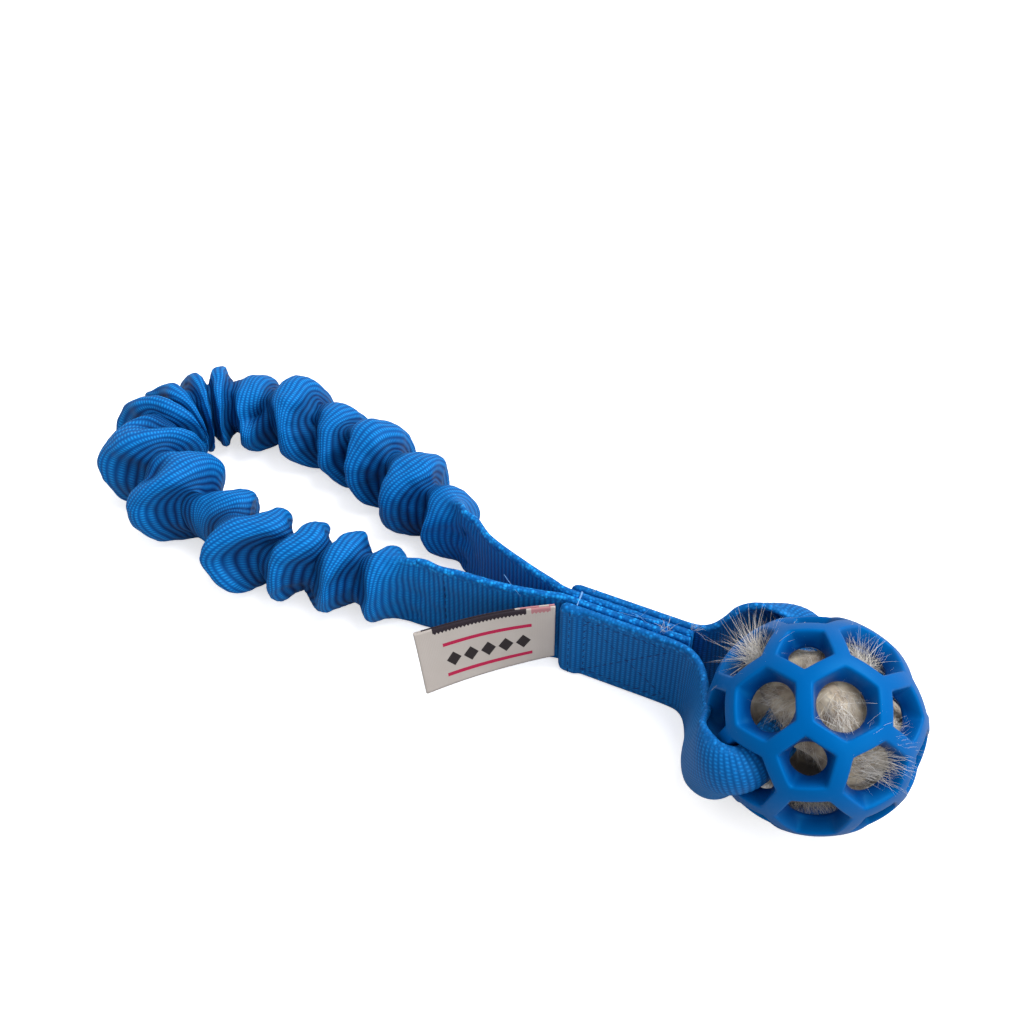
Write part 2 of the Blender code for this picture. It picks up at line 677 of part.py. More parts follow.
def make_label():
    """A folded tape that leaves the hem at an angle, and sinks and leans back towards its fold."""
    direction = Vector((math.cos(LABEL_LEAVES_AT), math.sin(LABEL_LEAVES_AT), 0))
    side = Vector((-direction.y, direction.x, 0))
    rings = []
    for i in range(LABEL_RINGS + 1):
        share = i / LABEL_RINGS
        lean = LABEL_LEAN * share
        upward = UP * math.cos(lean) - side * math.sin(lean)
        thick = (side * math.cos(lean) + UP * math.sin(lean)) * LABEL_THICKNESS / 2
        foot = LABEL_ROOT + direction * LABEL_LENGTH * share
        foot.z = WEBBING_WIDTH - LABEL_TOP_INSET - LABEL_HEIGHT - LABEL_DROP * share
        head = foot + upward * LABEL_HEIGHT
        rings.append([foot - thick, foot + thick, head + thick, head - thick])
    add_part(loft("label", rings), LABEL_CREAM, label_axis)


clear_scene()
parts = new_collection("dog_tug_toy")
cutters = new_collection("cutters")

STRAP_BLUE = principled("strap_webbing", (0.010, 0.105, 0.420), 0.62)
SLEEVE_BLUE = principled("sleeve_webbing", (0.012, 0.140, 0.520), 0.58)
BALL_BLUE = principled("ball_rubber", (0.005, 0.150, 0.560), 0.32)
BUNGEE_BLACK = principled("bungee_rubber", (0.020, 0.020, 0.022), 0.80)
FUR_CREAM = principled("rabbit_fur", (0.620, 0.560, 0.480), 0.95)
LABEL_CREAM = principled("label_tape", (0.800, 0.760, 0.720), 0.85)
THREAD_BLUE = principled("seam_thread", (0.025, 0.160, 0.560), 0.60)

handle_route_line = handle_route()
bend = max(handle_route_line.points, key=lambda p: -p.x)

ball_swing_axis = axis_empty("ball_swing_axis", (NECK_BALL_END, STACK_MIDDLE, WEBBING_WIDTH / 2))
ball_turn_axis = axis_empty("ball_turn_axis", CHORD_MIDDLE)
handle_swing_axis = axis_empty(
    "handle_swing_axis", (NECK_HANDLE_END - HANDLE_SWING_SETBACK, STACK_MIDDLE, WEBBING_WIDTH / 2)
)
grip_axis = axis_empty("handle_stretch_axis", (bend.x, bend.y, SLEEVE_CENTRE_HEIGHT))
label_axis = axis_empty("label_flap_axis", LABEL_ROOT + UP * WEBBING_WIDTH / 2)

make_strap()
make_sleeve(handle_route_line)
make_ball()
make_fur()
make_seams(handle_route_line)
make_label()

bpy.context.view_layer.update()
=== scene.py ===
import math

import bmesh
import bpy
import numpy as np
from mathutils import Matrix, Vector, noise


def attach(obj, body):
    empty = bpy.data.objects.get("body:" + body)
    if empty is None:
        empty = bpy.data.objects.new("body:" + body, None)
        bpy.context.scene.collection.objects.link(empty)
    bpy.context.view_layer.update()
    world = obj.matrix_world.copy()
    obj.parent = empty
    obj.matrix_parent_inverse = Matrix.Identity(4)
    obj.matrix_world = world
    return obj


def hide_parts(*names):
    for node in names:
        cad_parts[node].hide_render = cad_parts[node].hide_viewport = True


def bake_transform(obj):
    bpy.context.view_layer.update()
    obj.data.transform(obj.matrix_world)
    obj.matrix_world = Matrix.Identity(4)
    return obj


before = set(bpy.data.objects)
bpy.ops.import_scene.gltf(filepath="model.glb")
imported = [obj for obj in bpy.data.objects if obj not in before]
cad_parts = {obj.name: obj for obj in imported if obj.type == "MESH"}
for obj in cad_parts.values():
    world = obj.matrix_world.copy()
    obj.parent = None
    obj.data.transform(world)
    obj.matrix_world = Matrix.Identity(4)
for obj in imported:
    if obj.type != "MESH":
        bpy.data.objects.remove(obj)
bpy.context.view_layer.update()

# The elastic cord: a rubber bungee in a braided jacket, about as long as the gathered handle at rest.
# It lies in the sleeve, and its two ends are stitched into the sleeve's tails beside the neck.
MM = 0.001
CORD_DIAMETER = 6.6 * MM
CORD_HEIGHT = 11.5 * MM
CORD_END_INSET = 12.2 * MM
CORD_SIDES = 20
CORD_STRAND_PITCH = 5.0 * MM
CORD_GROOVE_SHARE = 0.05
CORD_GROOVE_DEPTH = 0.2 * MM
CORD_STEP = 0.8 * MM
TAIL_LENGTH = 40 * MM
NECK_END = 17 * MM
# The handle's middle line on the floor plan, in millimetres, from the front tail round to the back tail
HANDLE_LINE = (
    (17, 0), (6, 0), (-6, 0), (-17, 0),
    (-22, -1.2), (-32, -3.2), (-44, -4.2), (-55, -5.2), (-67, -5.4), (-78.4, -7), (-90, -8.8), (-104.5, -8.8),
    (-118, -6.8), (-131, -2.6), (-142, 1.5), (-151.2, 7.7), (-156.2, 16), (-157.4, 25), (-154.3, 33),
    (-147.4, 39), (-138, 41.7), (-129, 42.5), (-120, 42.3), (-107, 39.7), (-93.3, 36), (-76.8, 28.4),
    (-66, 24.5), (-59, 20.9), (-51, 15.5), (-42.6, 10.4), (-30, 5.9), (-22, 3.6),
    (-17, 2.3), (-6, 2.3), (6, 2.3), (17, 2.3),
)


def smooth_line(points, step):
    """A smooth curve through the points, with one about every step. Columns past the third go along."""
    points = np.array(points, float)
    ends = np.vstack([2 * points[0] - points[1], points, 2 * points[-1] - points[-2]])
    line = []
    for before, start, end, after in zip(ends, ends[1:], ends[2:], ends[3:]):
        count = max(2, math.ceil(np.linalg.norm((end - start)[:3]) / step))
        t = (np.arange(count) / count)[:, None]
        line.append(0.5 * (2 * start + (end - before) * t
                           + (2 * before - 5 * start + 4 * end - after) * t ** 2
                           + (3 * start - before - 3 * end + after) * t ** 3))
    line.append(points[-1:])
    return np.vstack(line)


def distances(line):
    return np.concatenate([[0.0], np.cumsum(np.linalg.norm(np.diff(line[:, :3], axis=0), axis=1))])


def at(line, run, where):
    """The line's rows at the given distances along it."""
    return np.stack([np.interp(where, run, column) for column in line.T], axis=-1)


def headings(points):
    steps = np.gradient(points[:, :3], axis=0)
    return steps / np.linalg.norm(steps, axis=1)[:, None]


def in_scene(name, data):
    """A new object at the origin."""
    obj = bpy.data.objects.new(name, data)
    bpy.context.scene.collection.objects.link(obj)
    return obj


def keep_on(mesh, mark, values):
    """Keeps a number or a vector on each point of a mesh."""
    values = np.array(values, np.float32).reshape(len(mesh.vertices), -1)
    kind, field = ("FLOAT_VECTOR", "vector") if values.shape[1] == 3 else ("FLOAT", "value")
    mesh.attributes.new(mark, kind, "POINT").data.foreach_set(field, values.ravel())


def skin(name, grid, run, girth, **marks):
    """A closed tube over rows of points, its ends closed at a middle point, with UVs in metres of cloth.

    Marks are values kept on its points, one or three for each point of the grid.
    """
    rows, around = grid.shape[:2]
    points = np.vstack([grid.reshape(-1, 3), grid[0].mean(0), grid[-1].mean(0)])
    faces, uvs = [], []
    for i in range(rows - 1):
        for j in range(around):
            k = (j + 1) % around
            faces.append((i * around + j, i * around + k, (i + 1) * around + k, (i + 1) * around + j))
            uvs += [(run[i], girth[j]), (run[i], girth[j + 1]), (run[i + 1], girth[j + 1]),
                    (run[i + 1], girth[j])]
    first, last = rows * around, rows * around + 1
    for j in range(around):
        k = (j + 1) % around
        faces.append((first, k, j))
        uvs += [(run[0], girth[j])] * 3
        faces.append((last, (rows - 1) * around + j, (rows - 1) * around + k))
        uvs += [(run[-1], girth[j])] * 3
    mesh = bpy.data.meshes.new(name)
    mesh.from_pydata(points.tolist(), [], faces)
    layer = mesh.uv_layers.new(name="cloth")
    layer.data.foreach_set("uv", np.array(uvs, np.float32).ravel())
    for mark, values in marks.items():
        ends = np.stack([values[0].mean(axis=0), values[-1].mean(axis=0)])
        keep_on(mesh, mark, np.concatenate([values.reshape(rows * around, -1), ends.reshape(2, -1)]))
    mesh.shade_smooth()
    return in_scene(name, mesh)


def fill(tree, node, inputs):
    """Joins a node's inputs to the sockets given, or sets them to the values given."""
    for socket, value in (inputs.items() if isinstance(inputs, dict) else enumerate(inputs)):
        if isinstance(value, bpy.types.NodeSocket):
            tree.links.new(value, node.inputs[socket])
        else:
            node.inputs[socket].default_value = value


def step(tree, kind, inputs=(), **settings):
    """Adds a node, sets its options and fills its inputs."""
    made = tree.nodes.new(kind)
    for option, value in settings.items():
        setattr(made, option, value)
    fill(tree, made, inputs)
    return made


def new_material(name):
    """A material, its node tree and its shader."""
    material = bpy.data.materials.new(name)
    material.use_nodes = True
    return material, material.node_tree, material.node_tree.nodes["Principled BSDF"]


def cloth_place(tree):
    return step(tree, "ShaderNodeUVMap", uv_map="cloth").outputs["UV"]


def bumped(tree, height, distance, strength=1.0):
    inputs = {"Height": height, "Distance": distance, "Strength": strength}
    return step(tree, "ShaderNodeBump", inputs).outputs["Normal"]


handle_line = smooth_line([(x * MM, y * MM, 0) for x, y in HANDLE_LINE], MM)
handle_run = distances(handle_line)
handle_length = handle_run[-1]
gather_start = 2 * NECK_END + TAIL_LENGTH
gather_end = handle_length - gather_start

core_run = np.arange(gather_start + CORD_END_INSET, gather_end - CORD_END_INSET, CORD_STEP)
core_line = at(handle_line, handle_run, core_run)
core_side = np.cross(headings(core_line), (0, 0, 1))
core_turn = np.arange(CORD_SIDES) / CORD_SIDES * 2 * math.pi
core_rings = (core_line[:, None] + core_side[:, None] * np.cos(core_turn)[None, :, None] * CORD_DIAMETER / 2
              + np.array((0, 0, 1)) * (np.sin(core_turn)[None, :, None] * CORD_DIAMETER / 2 + CORD_HEIGHT))
bungee = skin("bungee_cord", core_rings, core_run, np.linspace(0, math.pi * CORD_DIAMETER, CORD_SIDES + 1))

jacket, tree, shader = new_material("bungee_jacket")
braid = step(tree, "ShaderNodeTexBrick", {
    "Vector": cloth_place(tree), "Scale": 1 / CORD_STRAND_PITCH, "Mortar Size": CORD_GROOVE_SHARE,
    "Color1": (0.014, 0.014, 0.016, 1), "Color2": (0.030, 0.030, 0.034, 1),
    "Mortar": (0.004, 0.004, 0.004, 1),
})
fill(tree, shader, {
    "Base Color": braid.outputs["Color"], "Roughness": 0.75,
    "Normal": bumped(tree, braid.outputs["Fac"], CORD_GROOVE_DEPTH),
})
bungee.data.materials.append(jacket)
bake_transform(bungee)
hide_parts("bungee_leg_front", "bungee_grip", "bungee_leg_back")


# The sleeve: tubular nylon webbing, one length, gathered over the cord. Its ribs run round the tube and
# follow every fold. Its two flat tails lie in the neck, between the strap's two plies.
WEBBING_WIDTH = 25 * MM
RIB_PITCH = 1.38 * MM
RIB_RELIEF = 0.09 * MM
RIB_ROUNDNESS = 1.20
FLOAT_PITCH = 0.66 * MM
SELVAGE_WIDTH = 1.8 * MM
SLEEVE_HALF_HEIGHT = 12.0 * MM
SLEEVE_HALF_DEPTH = 12.0 * MM
VALLEY_HALF_HEIGHT = 8.9 * MM
VALLEY_HALF_DEPTH = 5.6 * MM
FOLD_FULLNESS_POWER = 1.10
FOLD_OVERHANG = 0.40
SIDE_VALLEY_SHARE = 0.70
TOP_VALLEY_SHARE = -0.30
TAIL_OPENING = 13 * MM
TAIL_HALF_THICKNESS = 1.0 * MM
CLOTH_STEP = 0.40 * MM
CLOTH_AROUND = 144
CLOTH_GIRTH = 64 * MM
CRUMPLE = 0.9 * MM
CRUMPLE_SIZE = 9 * MM
WRINKLE = 0.35 * MM
WRINKLE_SIZE = 3.4 * MM
FLOOR_LIMIT = 0.15 * MM
# Each gather: its place along the gathered length, its height, its depth and how far it stands to the
# outside of the loop, all as shares of the sleeve's own sizes, then how far its top, its bottom and its
# outer side lean along, in mm
GATHERS = (
    (0.044, 0.97, 0.97, 0.00, -1.5, 1.0, 2.2), (0.097, 1.04, 1.02, 0.00, -2.6, 5.6, 2.6),
    (0.140, 1.03, 1.02, 0.00, -2.6, 6.0, 5.0), (0.202, 1.02, 1.14, 0.10, -3.0, 2.6, 8.6),
    (0.266, 0.93, 0.78, -0.36, -1.6, 3.0, 5.0), (0.334, 1.07, 1.28, 0.12, 1.0, 0.5, 2.0),
    (0.436, 1.06, 1.32, 0.13, 2.6, -2.6, 0.0), (0.478, 1.03, 1.24, 0.10, 1.5, -1.5, 0.0),
    (0.508, 0.98, 1.18, 0.14, 1.2, -1.2, 0.0), (0.536, 1.02, 1.05, -0.04, 2.0, -2.4, 0.0),
    (0.560, 1.02, 1.06, 0.06, 1.0, -1.0, 0.0), (0.604, 0.90, 1.08, -0.03, 0.0, 0.0, 0.0),
    (0.696, 1.06, 1.08, 0.00, -5.0, 5.0, 0.0), (0.762, 0.94, 0.93, 0.00, -4.5, 5.0, 0.0),
    (0.820, 1.08, 1.03, 0.00, -3.6, 4.0, 0.0), (0.890, 1.06, 1.06, 0.04, 0.8, 0.0, 0.0),
    (0.962, 0.88, 0.90, 0.05, -1.2, 2.4, 0.0),
)
# Pockets pushed into the folds: place along, angle round from the loop's outside over its top in degrees,
# depth, length along and width round in mm
POCKETS = (
    (0.623, 143, 6.2, 3.0, 4.8), (0.440, 100, 3.5, 3.0, 6.0), (0.365, 70, 3.6, 3.0, 6.0),
    (0.725, 150, 4.5, 3.2, 7.0), (0.290, 120, 3.0, 3.0, 5.0), (0.785, 160, 4.0, 2.6, 7.0),
    (0.855, 165, 3.6, 3.2, 7.0), (0.070, 20, 2.5, 2.0, 7.0), (0.120, 25, 2.5, 2.0, 7.0),
    (0.175, 30, 2.0, 2.4, 6.0), (0.500, 60, 3.0, 2.4, 5.0), (0.930, 150, 2.2, 3.5, 6.0),
)
WARP = 1.7 * MM
WARP_SIZE = 10 * MM
UNEVEN_VALLEY_SHARE = 0.30
BOW_ANGLE = math.radians(30)
# Painted shade kept on the sleeve's points: its value on the flat tails, how much a pocket adds, and how soon
# a fold darkens towards its valley
FLAT_SHADE = 0.75
POCKET_SHADE = 0.8
SHADE_POWER = 1.5
TAIL_RIPPLE = 1.3 * MM
TAIL_RIPPLE_SIZE = 6 * MM
TAIL_RIPPLE_REACH = 15 * MM
CORD_CLEARANCE = 4.6 * MM
LEAST_REACH = 0.5 * MM
BRAID_PITCH = 0.9 * MM
SELVAGE_REACH = 1.5
KNOT_SCATTER = 0.8
GRAINS_PER_KNOT = 0.8
FLOAT_RELIEF = 0.12
LINT_PER_METRE = 1400.0
LINT_FROM = 0.60
LINT_FULL = 0.74
LINT_COLOUR = (0.10, 0.34, 0.78)
# The webbing's painted shade runs from the folds' valleys (VALLEY_SHADE) to their crests (CREST_SHADE)
VALLEY_SHADE = 0.10
CREST_SHADE = 0.85
PATCHES_PER_METRE = 90.0
MOTTLE = 0.7
# In the painted valley shade the ribs keep this share of their lightness, and the painted highlights on the
# floats are weaker in the valleys than on the crests
VALLEY_RIB_SHARE = 0.65
GLINT_IN_VALLEY = 0.25
GLINT_ON_CREST = 0.50
WEBBING_ROUGHNESS = 0.56
FLOAT_GLOSS = 0.12
FOLD_SAMPLES = 400
GRIP_AFTER_FOLD = 5
GRIP_LAST_FOLD = 12


def fold_rows():
    """The sleeve's rows from one end of its cloth to the other, each fold's first row, and each fold's place.

    A row is its metres of cloth, its distance along the handle, its fullness, its fold, how far along the
    fold it is, and the fold's length.
    """
    gathered = gather_end - gather_start
    places = [gather_start + row[0] * gathered for row in GATHERS]
    valleys = [gather_start] + [(a + b) / 2 for a, b in zip(places, places[1:])] + [gather_end]
    tail_rows = round(gather_start / CLOTH_STEP)
    tail = gather_start * np.arange(tail_rows + 1) / tail_rows
    rows = [(run, run, 0.0, 0, 0.0, 0.0) for run in tail[:-1]]
    cloth, edges = gather_start, []
    t = np.linspace(0, 1, FOLD_SAMPLES)
    for fold, (start, end) in enumerate(zip(valleys, valleys[1:])):
        edges.append(len(rows))
        fullness = np.sin(math.pi * t) ** FOLD_FULLNESS_POWER
        travel = t + FOLD_OVERHANG / (4 * math.pi) * np.sin(4 * math.pi * t)
        rise = SLEEVE_HALF_HEIGHT * GATHERS[fold][1] - VALLEY_HALF_HEIGHT
        steps = np.hypot(np.diff(travel) * (end - start), np.diff(fullness) * rise)
        measured = np.concatenate([[0.0], np.cumsum(steps)])
        count = round(measured[-1] / CLOTH_STEP)
        spots = np.interp(np.arange(count) / count * measured[-1], measured, t)
        for spot in spots:
            rows.append((
                cloth + np.interp(spot, t, measured), start + (end - start) * np.interp(spot, t, travel),
                np.interp(spot, t, fullness), fold, spot, end - start,
            ))
        cloth += measured[-1]
    edges.append(len(rows))
    rows += [(cloth + run, gather_end + run, 0.0, len(GATHERS) - 1, 0.0, 0.0) for run in tail]
    return np.array(rows), edges, places


def flat_tube(count):
    """The flattened tube's outline as side and height, from the middle of its outer side over its top."""
    straight = WEBBING_WIDTH / 2 - TAIL_HALF_THICKNESS
    quarter = math.pi * TAIL_HALF_THICKNESS / 2
    whole = 4 * (straight + quarter)
    outline = []
    for share in np.arange(count) / count:
        place = (share * whole + straight) % whole
        if place < 2 * straight:
            outline.append((TAIL_HALF_THICKNESS, place - straight))
        elif place < 2 * straight + 2 * quarter:
            turn = (place - 2 * straight) / TAIL_HALF_THICKNESS
            outline.append((TAIL_HALF_THICKNESS * math.cos(turn),
                            straight + TAIL_HALF_THICKNESS * math.sin(turn)))
        elif place < 4 * straight + 2 * quarter:
            outline.append((-TAIL_HALF_THICKNESS, 3 * straight + 2 * quarter - place))
        else:
            turn = (place - 4 * straight - 2 * quarter) / TAIL_HALF_THICKNESS
            outline.append((-TAIL_HALF_THICKNESS * math.cos(turn),
                            -straight - TAIL_HALF_THICKNESS * math.sin(turn)))
    return np.array(outline)


def rib_height(cloth):
    """The webbing's rounded ribs, one every pitch of cloth, from 0 in a groove to 1 on a rib."""
    return np.abs(np.sin(math.pi * cloth / RIB_PITCH)) ** RIB_ROUNDNESS


def crumpled(points, size, seed):
    """Smooth noise from -1 to 1 at each point."""
    flat = points.reshape(-1, 3) / size
    offset = Vector((seed, -seed, seed * 2))
    return np.array([noise.noise(Vector(p) + offset) for p in flat]).reshape(points.shape[:-1])


def sleeve_grid():
    rows, edges, places = fold_rows()
    cloth, along_line, fullness, fold, fold_share, fold_length = rows.T
    fold = fold.astype(int)
    table = np.array(GATHERS)
    turn = (np.arange(CLOTH_AROUND) / CLOTH_AROUND * 2 * math.pi)[None, :]
    height, depth, out = (table[fold, column][:, None] for column in (1, 2, 3))
    top, bottom, outer = (np.interp(along_line, places, table[:, column])[:, None] * MM
                          for column in (4, 5, 6))
    spot = np.stack(np.broadcast_arrays(
        along_line[:, None], np.cos(turn) * SLEEVE_HALF_DEPTH, np.sin(turn) * SLEEVE_HALF_HEIGHT), axis=-1)
    uneven = UNEVEN_VALLEY_SHARE * crumpled(spot, WARP_SIZE, seed=5.3)
    full = fullness[:, None] + (1 - fullness[:, None]) * uneven
    full = full * (fullness[:, None] > 0)
    half_height = VALLEY_HALF_HEIGHT + (SLEEVE_HALF_HEIGHT * height - VALLEY_HALF_HEIGHT) * full
    half_depth = VALLEY_HALF_DEPTH + (SLEEVE_HALF_DEPTH * depth - VALLEY_HALF_DEPTH) * full
    middle = CORD_HEIGHT + SLEEVE_HALF_HEIGHT * (height - 1) * full
    inside = np.minimum(along_line - gather_start, gather_end - along_line)
    opened = np.clip(inside / TAIL_OPENING, 0, 1)[:, None]
    opened = opened * opened * (3 - 2 * opened)
    flat = flat_tube(CLOTH_AROUND)
    side = np.cos(turn) * half_depth * opened + flat[None, :, 0] * (1 - opened)
    rise = (np.sin(turn) * half_height + middle) * opened
    rise = rise + (flat[None, :, 1] + WEBBING_WIDTH / 2) * (1 - opened)
    side = side + out * SLEEVE_HALF_DEPTH * full * opened
    face = np.stack(np.broadcast_arrays(along_line[:, None], 0.0, flat[None, :, 1]), axis=-1)
    near = np.clip(1 + inside / TAIL_RIPPLE_REACH, 0, 1)[:, None]
    side = side + crumpled(face, TAIL_RIPPLE_SIZE, seed=2.7) * TAIL_RIPPLE * near * (1 - opened)
    valley = SIDE_VALLEY_SHARE + (TOP_VALLEY_SHARE - SIDE_VALLEY_SHARE) * np.sin(turn) ** 2
    widened = fold_length[:, None] * np.sin(2 * math.pi * fold_share)[:, None] / (2 * math.pi) * valley
    warp = WARP * crumpled(spot, WARP_SIZE, seed=9.1)
    lean = np.maximum(np.sin(turn), 0) * top + np.maximum(-np.sin(turn), 0) * bottom
    lean = lean + np.maximum(np.cos(turn - BOW_ANGLE), 0) ** 2 * outer
    shift = along_line[:, None] + (lean + widened + warp) * opened
    # Painted shade, kept as the fold mark: dark in the folds' valleys, light on their crests, the middle
    # FLAT_SHADE on the flat tails
    shade = np.maximum(full, 0) ** SHADE_POWER * opened + FLAT_SHADE * (1 - opened)
    for share, angle, deep, length, width in POCKETS:
        place = gather_start + share * (gather_end - gather_start)
        around = (turn - math.radians(angle) + math.pi) % (2 * math.pi) - math.pi
        push = np.exp(-((shift - place) / (length * MM)) ** 2
                      - (around * SLEEVE_HALF_HEIGHT / (width * MM)) ** 2)
        side = side - np.cos(turn) * push * deep * MM
        rise = rise - np.sin(turn) * push * deep * MM
        # Each pocket adds painted shade
        shade = shade - push * POCKET_SHADE
    reach = np.maximum(np.hypot(side, rise - CORD_HEIGHT), LEAST_REACH)
    clear = 1 + (np.maximum(CORD_CLEARANCE / reach, 1) - 1) * opened
    side = side * clear
    rise = CORD_HEIGHT + (rise - CORD_HEIGHT) * clear
    centre = at(handle_line, handle_run, shift)
    heading = at(headings(handle_line), handle_run, shift)
    outward = np.stack([-heading[..., 1], heading[..., 0], np.zeros_like(shift)], axis=-1)
    points = centre + outward * side[..., None]
    points[..., 2] = rise
    inset = (np.abs(flat[:, 1]) - WEBBING_WIDTH / 2) / SELVAGE_WIDTH
    selvage = np.clip(inset + SELVAGE_REACH, 0, 1) * (1 - opened)
    return points, cloth, edges, opened, np.clip(shade, 0, 1), selvage


def outward_of(points):
    """The outward direction at each point of a grid that is closed around."""
    down = np.gradient(points, axis=0)
    around = np.roll(points, -1, axis=1) - np.roll(points, 1, axis=1)
    normal = np.cross(around, down)
    normal = normal / np.maximum(np.linalg.norm(normal, axis=-1, keepdims=True), 1e-12)
    spokes = points - points.mean(axis=1, keepdims=True)
    return normal * np.sign(np.einsum("ijk,ijk->ij", normal, spokes).mean())


def ribbed(points, cloth, selvage, relief, bulge=0.0):
    """The cloth's grid with its ribs and bulges raised, and kept above the floor."""
    ribs = (rib_height(cloth)[:, None] - 0.5) * relief * (1 - selvage)
    points = points + outward_of(points) * (bulge + ribs)[..., None]
    points[..., 2] = np.maximum(points[..., 2], FLOOR_LIMIT)
    return points


sleeve_points, sleeve_cloth, fold_edges, sleeve_open, sleeve_shade, sleeve_selvage = sleeve_grid()
bulge = crumpled(sleeve_points, CRUMPLE_SIZE, seed=3.1) * CRUMPLE
bulge += crumpled(sleeve_points, WRINKLE_SIZE, seed=7.7) * WRINKLE
sleeve_points = ribbed(sleeve_points, sleeve_cloth, sleeve_selvage, RIB_RELIEF, bulge * sleeve_open)


def sums(tree, operation, *values):
    return step(tree, "ShaderNodeMath", values, operation=operation).outputs[0]


def mixed(tree, share, first, second):
    """The colour between two, each a socket or a colour."""
    first, second = (end if isinstance(end, bpy.types.NodeSocket) else (*end, 1) for end in (first, second))
    inputs = {"Factor": share, "A": first, "B": second}
    return step(tree, "ShaderNodeMix", inputs, data_type="RGBA").outputs["Result"]


def object_place(tree):
    return step(tree, "ShaderNodeTexCoord").outputs["Object"]


def kept(tree, mark):
    """A value that the mesh keeps on its points."""
    return step(tree, "ShaderNodeAttribute", attribute_name=mark).outputs["Fac"]


def clouds(tree, place, scale, detail=2.0, roughness=0.5):
    inputs = {"Vector": place, "Scale": scale, "Detail": detail, "Roughness": roughness}
    return step(tree, "ShaderNodeTexNoise", inputs).outputs["Fac"]


def ranged(tree, value, low, high, top=1.0, **settings):
    """0 at the low value and below it, and the top at the high value and above it."""
    inputs = {"Value": value, "From Min": low, "From Max": high, "To Max": top}
    return step(tree, "ShaderNodeMapRange", inputs, **settings).outputs["Result"]


def new_group(name, kind, inputs, outputs):
    """A node group and its two ends. Each socket is a name, a kind and, for some, a first value."""
    group = bpy.data.node_groups.new(name, kind)
    for in_out, sockets in (("INPUT", inputs), ("OUTPUT", outputs)):
        for label, socket_kind, *first in sockets:
            socket = group.interface.new_socket(name=label, in_out=in_out,
                                                socket_type="NodeSocket" + socket_kind)
            if first:
                socket.default_value = first[0]
    return group, step(group, "NodeGroupInput").outputs, step(group, "NodeGroupOutput")


def ribbed_weave_group():
    """Ribs across the cloth with small floats on them, a braided selvage, and the lint it picks up."""
    group, given, put = new_group("ribbed_weave", "ShaderNodeTree", (
        ("Cloth", "Vector"), ("Place", "Vector"), ("Rib Pitch", "Float", RIB_PITCH),
        ("Float Pitch", "Float", FLOAT_PITCH), ("Braid Pitch", "Float", BRAID_PITCH),
        ("Selvage", "Float", 0.0), ("Lint", "Float", 0.5),
    ), [(label, "Float") for label in ("Rib", "Float", "Grain", "Lint", "Height")])
    cloth = step(group, "ShaderNodeSeparateXYZ", [given["Cloth"]])
    ribs = sums(group, "DIVIDE", cloth.outputs["X"], given["Rib Pitch"])
    wave = sums(group, "ABSOLUTE", sums(group, "SINE", sums(group, "MULTIPLY", ribs, math.pi)))
    rib = sums(group, "POWER", wave, RIB_ROUNDNESS)
    rows = sums(group, "DIVIDE", cloth.outputs["Y"], given["Float Pitch"])
    stagger = sums(group, "MULTIPLY", sums(group, "FLOOR", ribs), 0.5)
    turn = sums(group, "MULTIPLY", sums(group, "ADD", rows, stagger), 2 * math.pi)
    yarn = sums(group, "MULTIPLY_ADD", sums(group, "SINE", turn), 0.5, 0.5)
    braid = step(group, "ShaderNodeTexVoronoi", {
        "Vector": given["Place"], "Scale": sums(group, "DIVIDE", 1.0, given["Braid Pitch"]),
        "Randomness": KNOT_SCATTER,
    })
    knot = sums(group, "SUBTRACT", 1.0, braid.outputs["Distance"])
    speck = step(group, "ShaderNodeSeparateXYZ", [braid.outputs["Color"]]).outputs["X"]
    grain = sums(group, "DIVIDE", GRAINS_PER_KNOT, given["Braid Pitch"])
    grain = clouds(group, given["Place"], grain, 3.0, 0.6)
    lint = clouds(group, given["Place"], LINT_PER_METRE, 3.0, 0.7)
    lint = ranged(group, lint, LINT_FROM, LINT_FULL)
    floats = sums(group, "MULTIPLY_ADD", yarn, FLOAT_RELIEF, 1 - FLOAT_RELIEF)
    height = sums(group, "MULTIPLY", rib, floats)
    inner = sums(group, "SUBTRACT", 1.0, given["Selvage"])
    # The selvage's knots shape the rib mask and its specks fill the float mask, so the webbing paints groove
    # shade and glints on the braid too
    for label, plain, edge, share in (("Rib", rib, knot, 1.15), ("Float", yarn, speck, 1.5),
                                      ("Height", height, knot, 3.0)):
        edge = sums(group, "MULTIPLY", sums(group, "MULTIPLY", edge, share), given["Selvage"])
        fill(group, put, {label: sums(group, "MULTIPLY_ADD", plain, inner, edge)})
    fill(group, put, {"Grain": grain, "Lint": sums(group, "MULTIPLY", lint, given["Lint"])})
    return group


ribbed_weave = ribbed_weave_group()


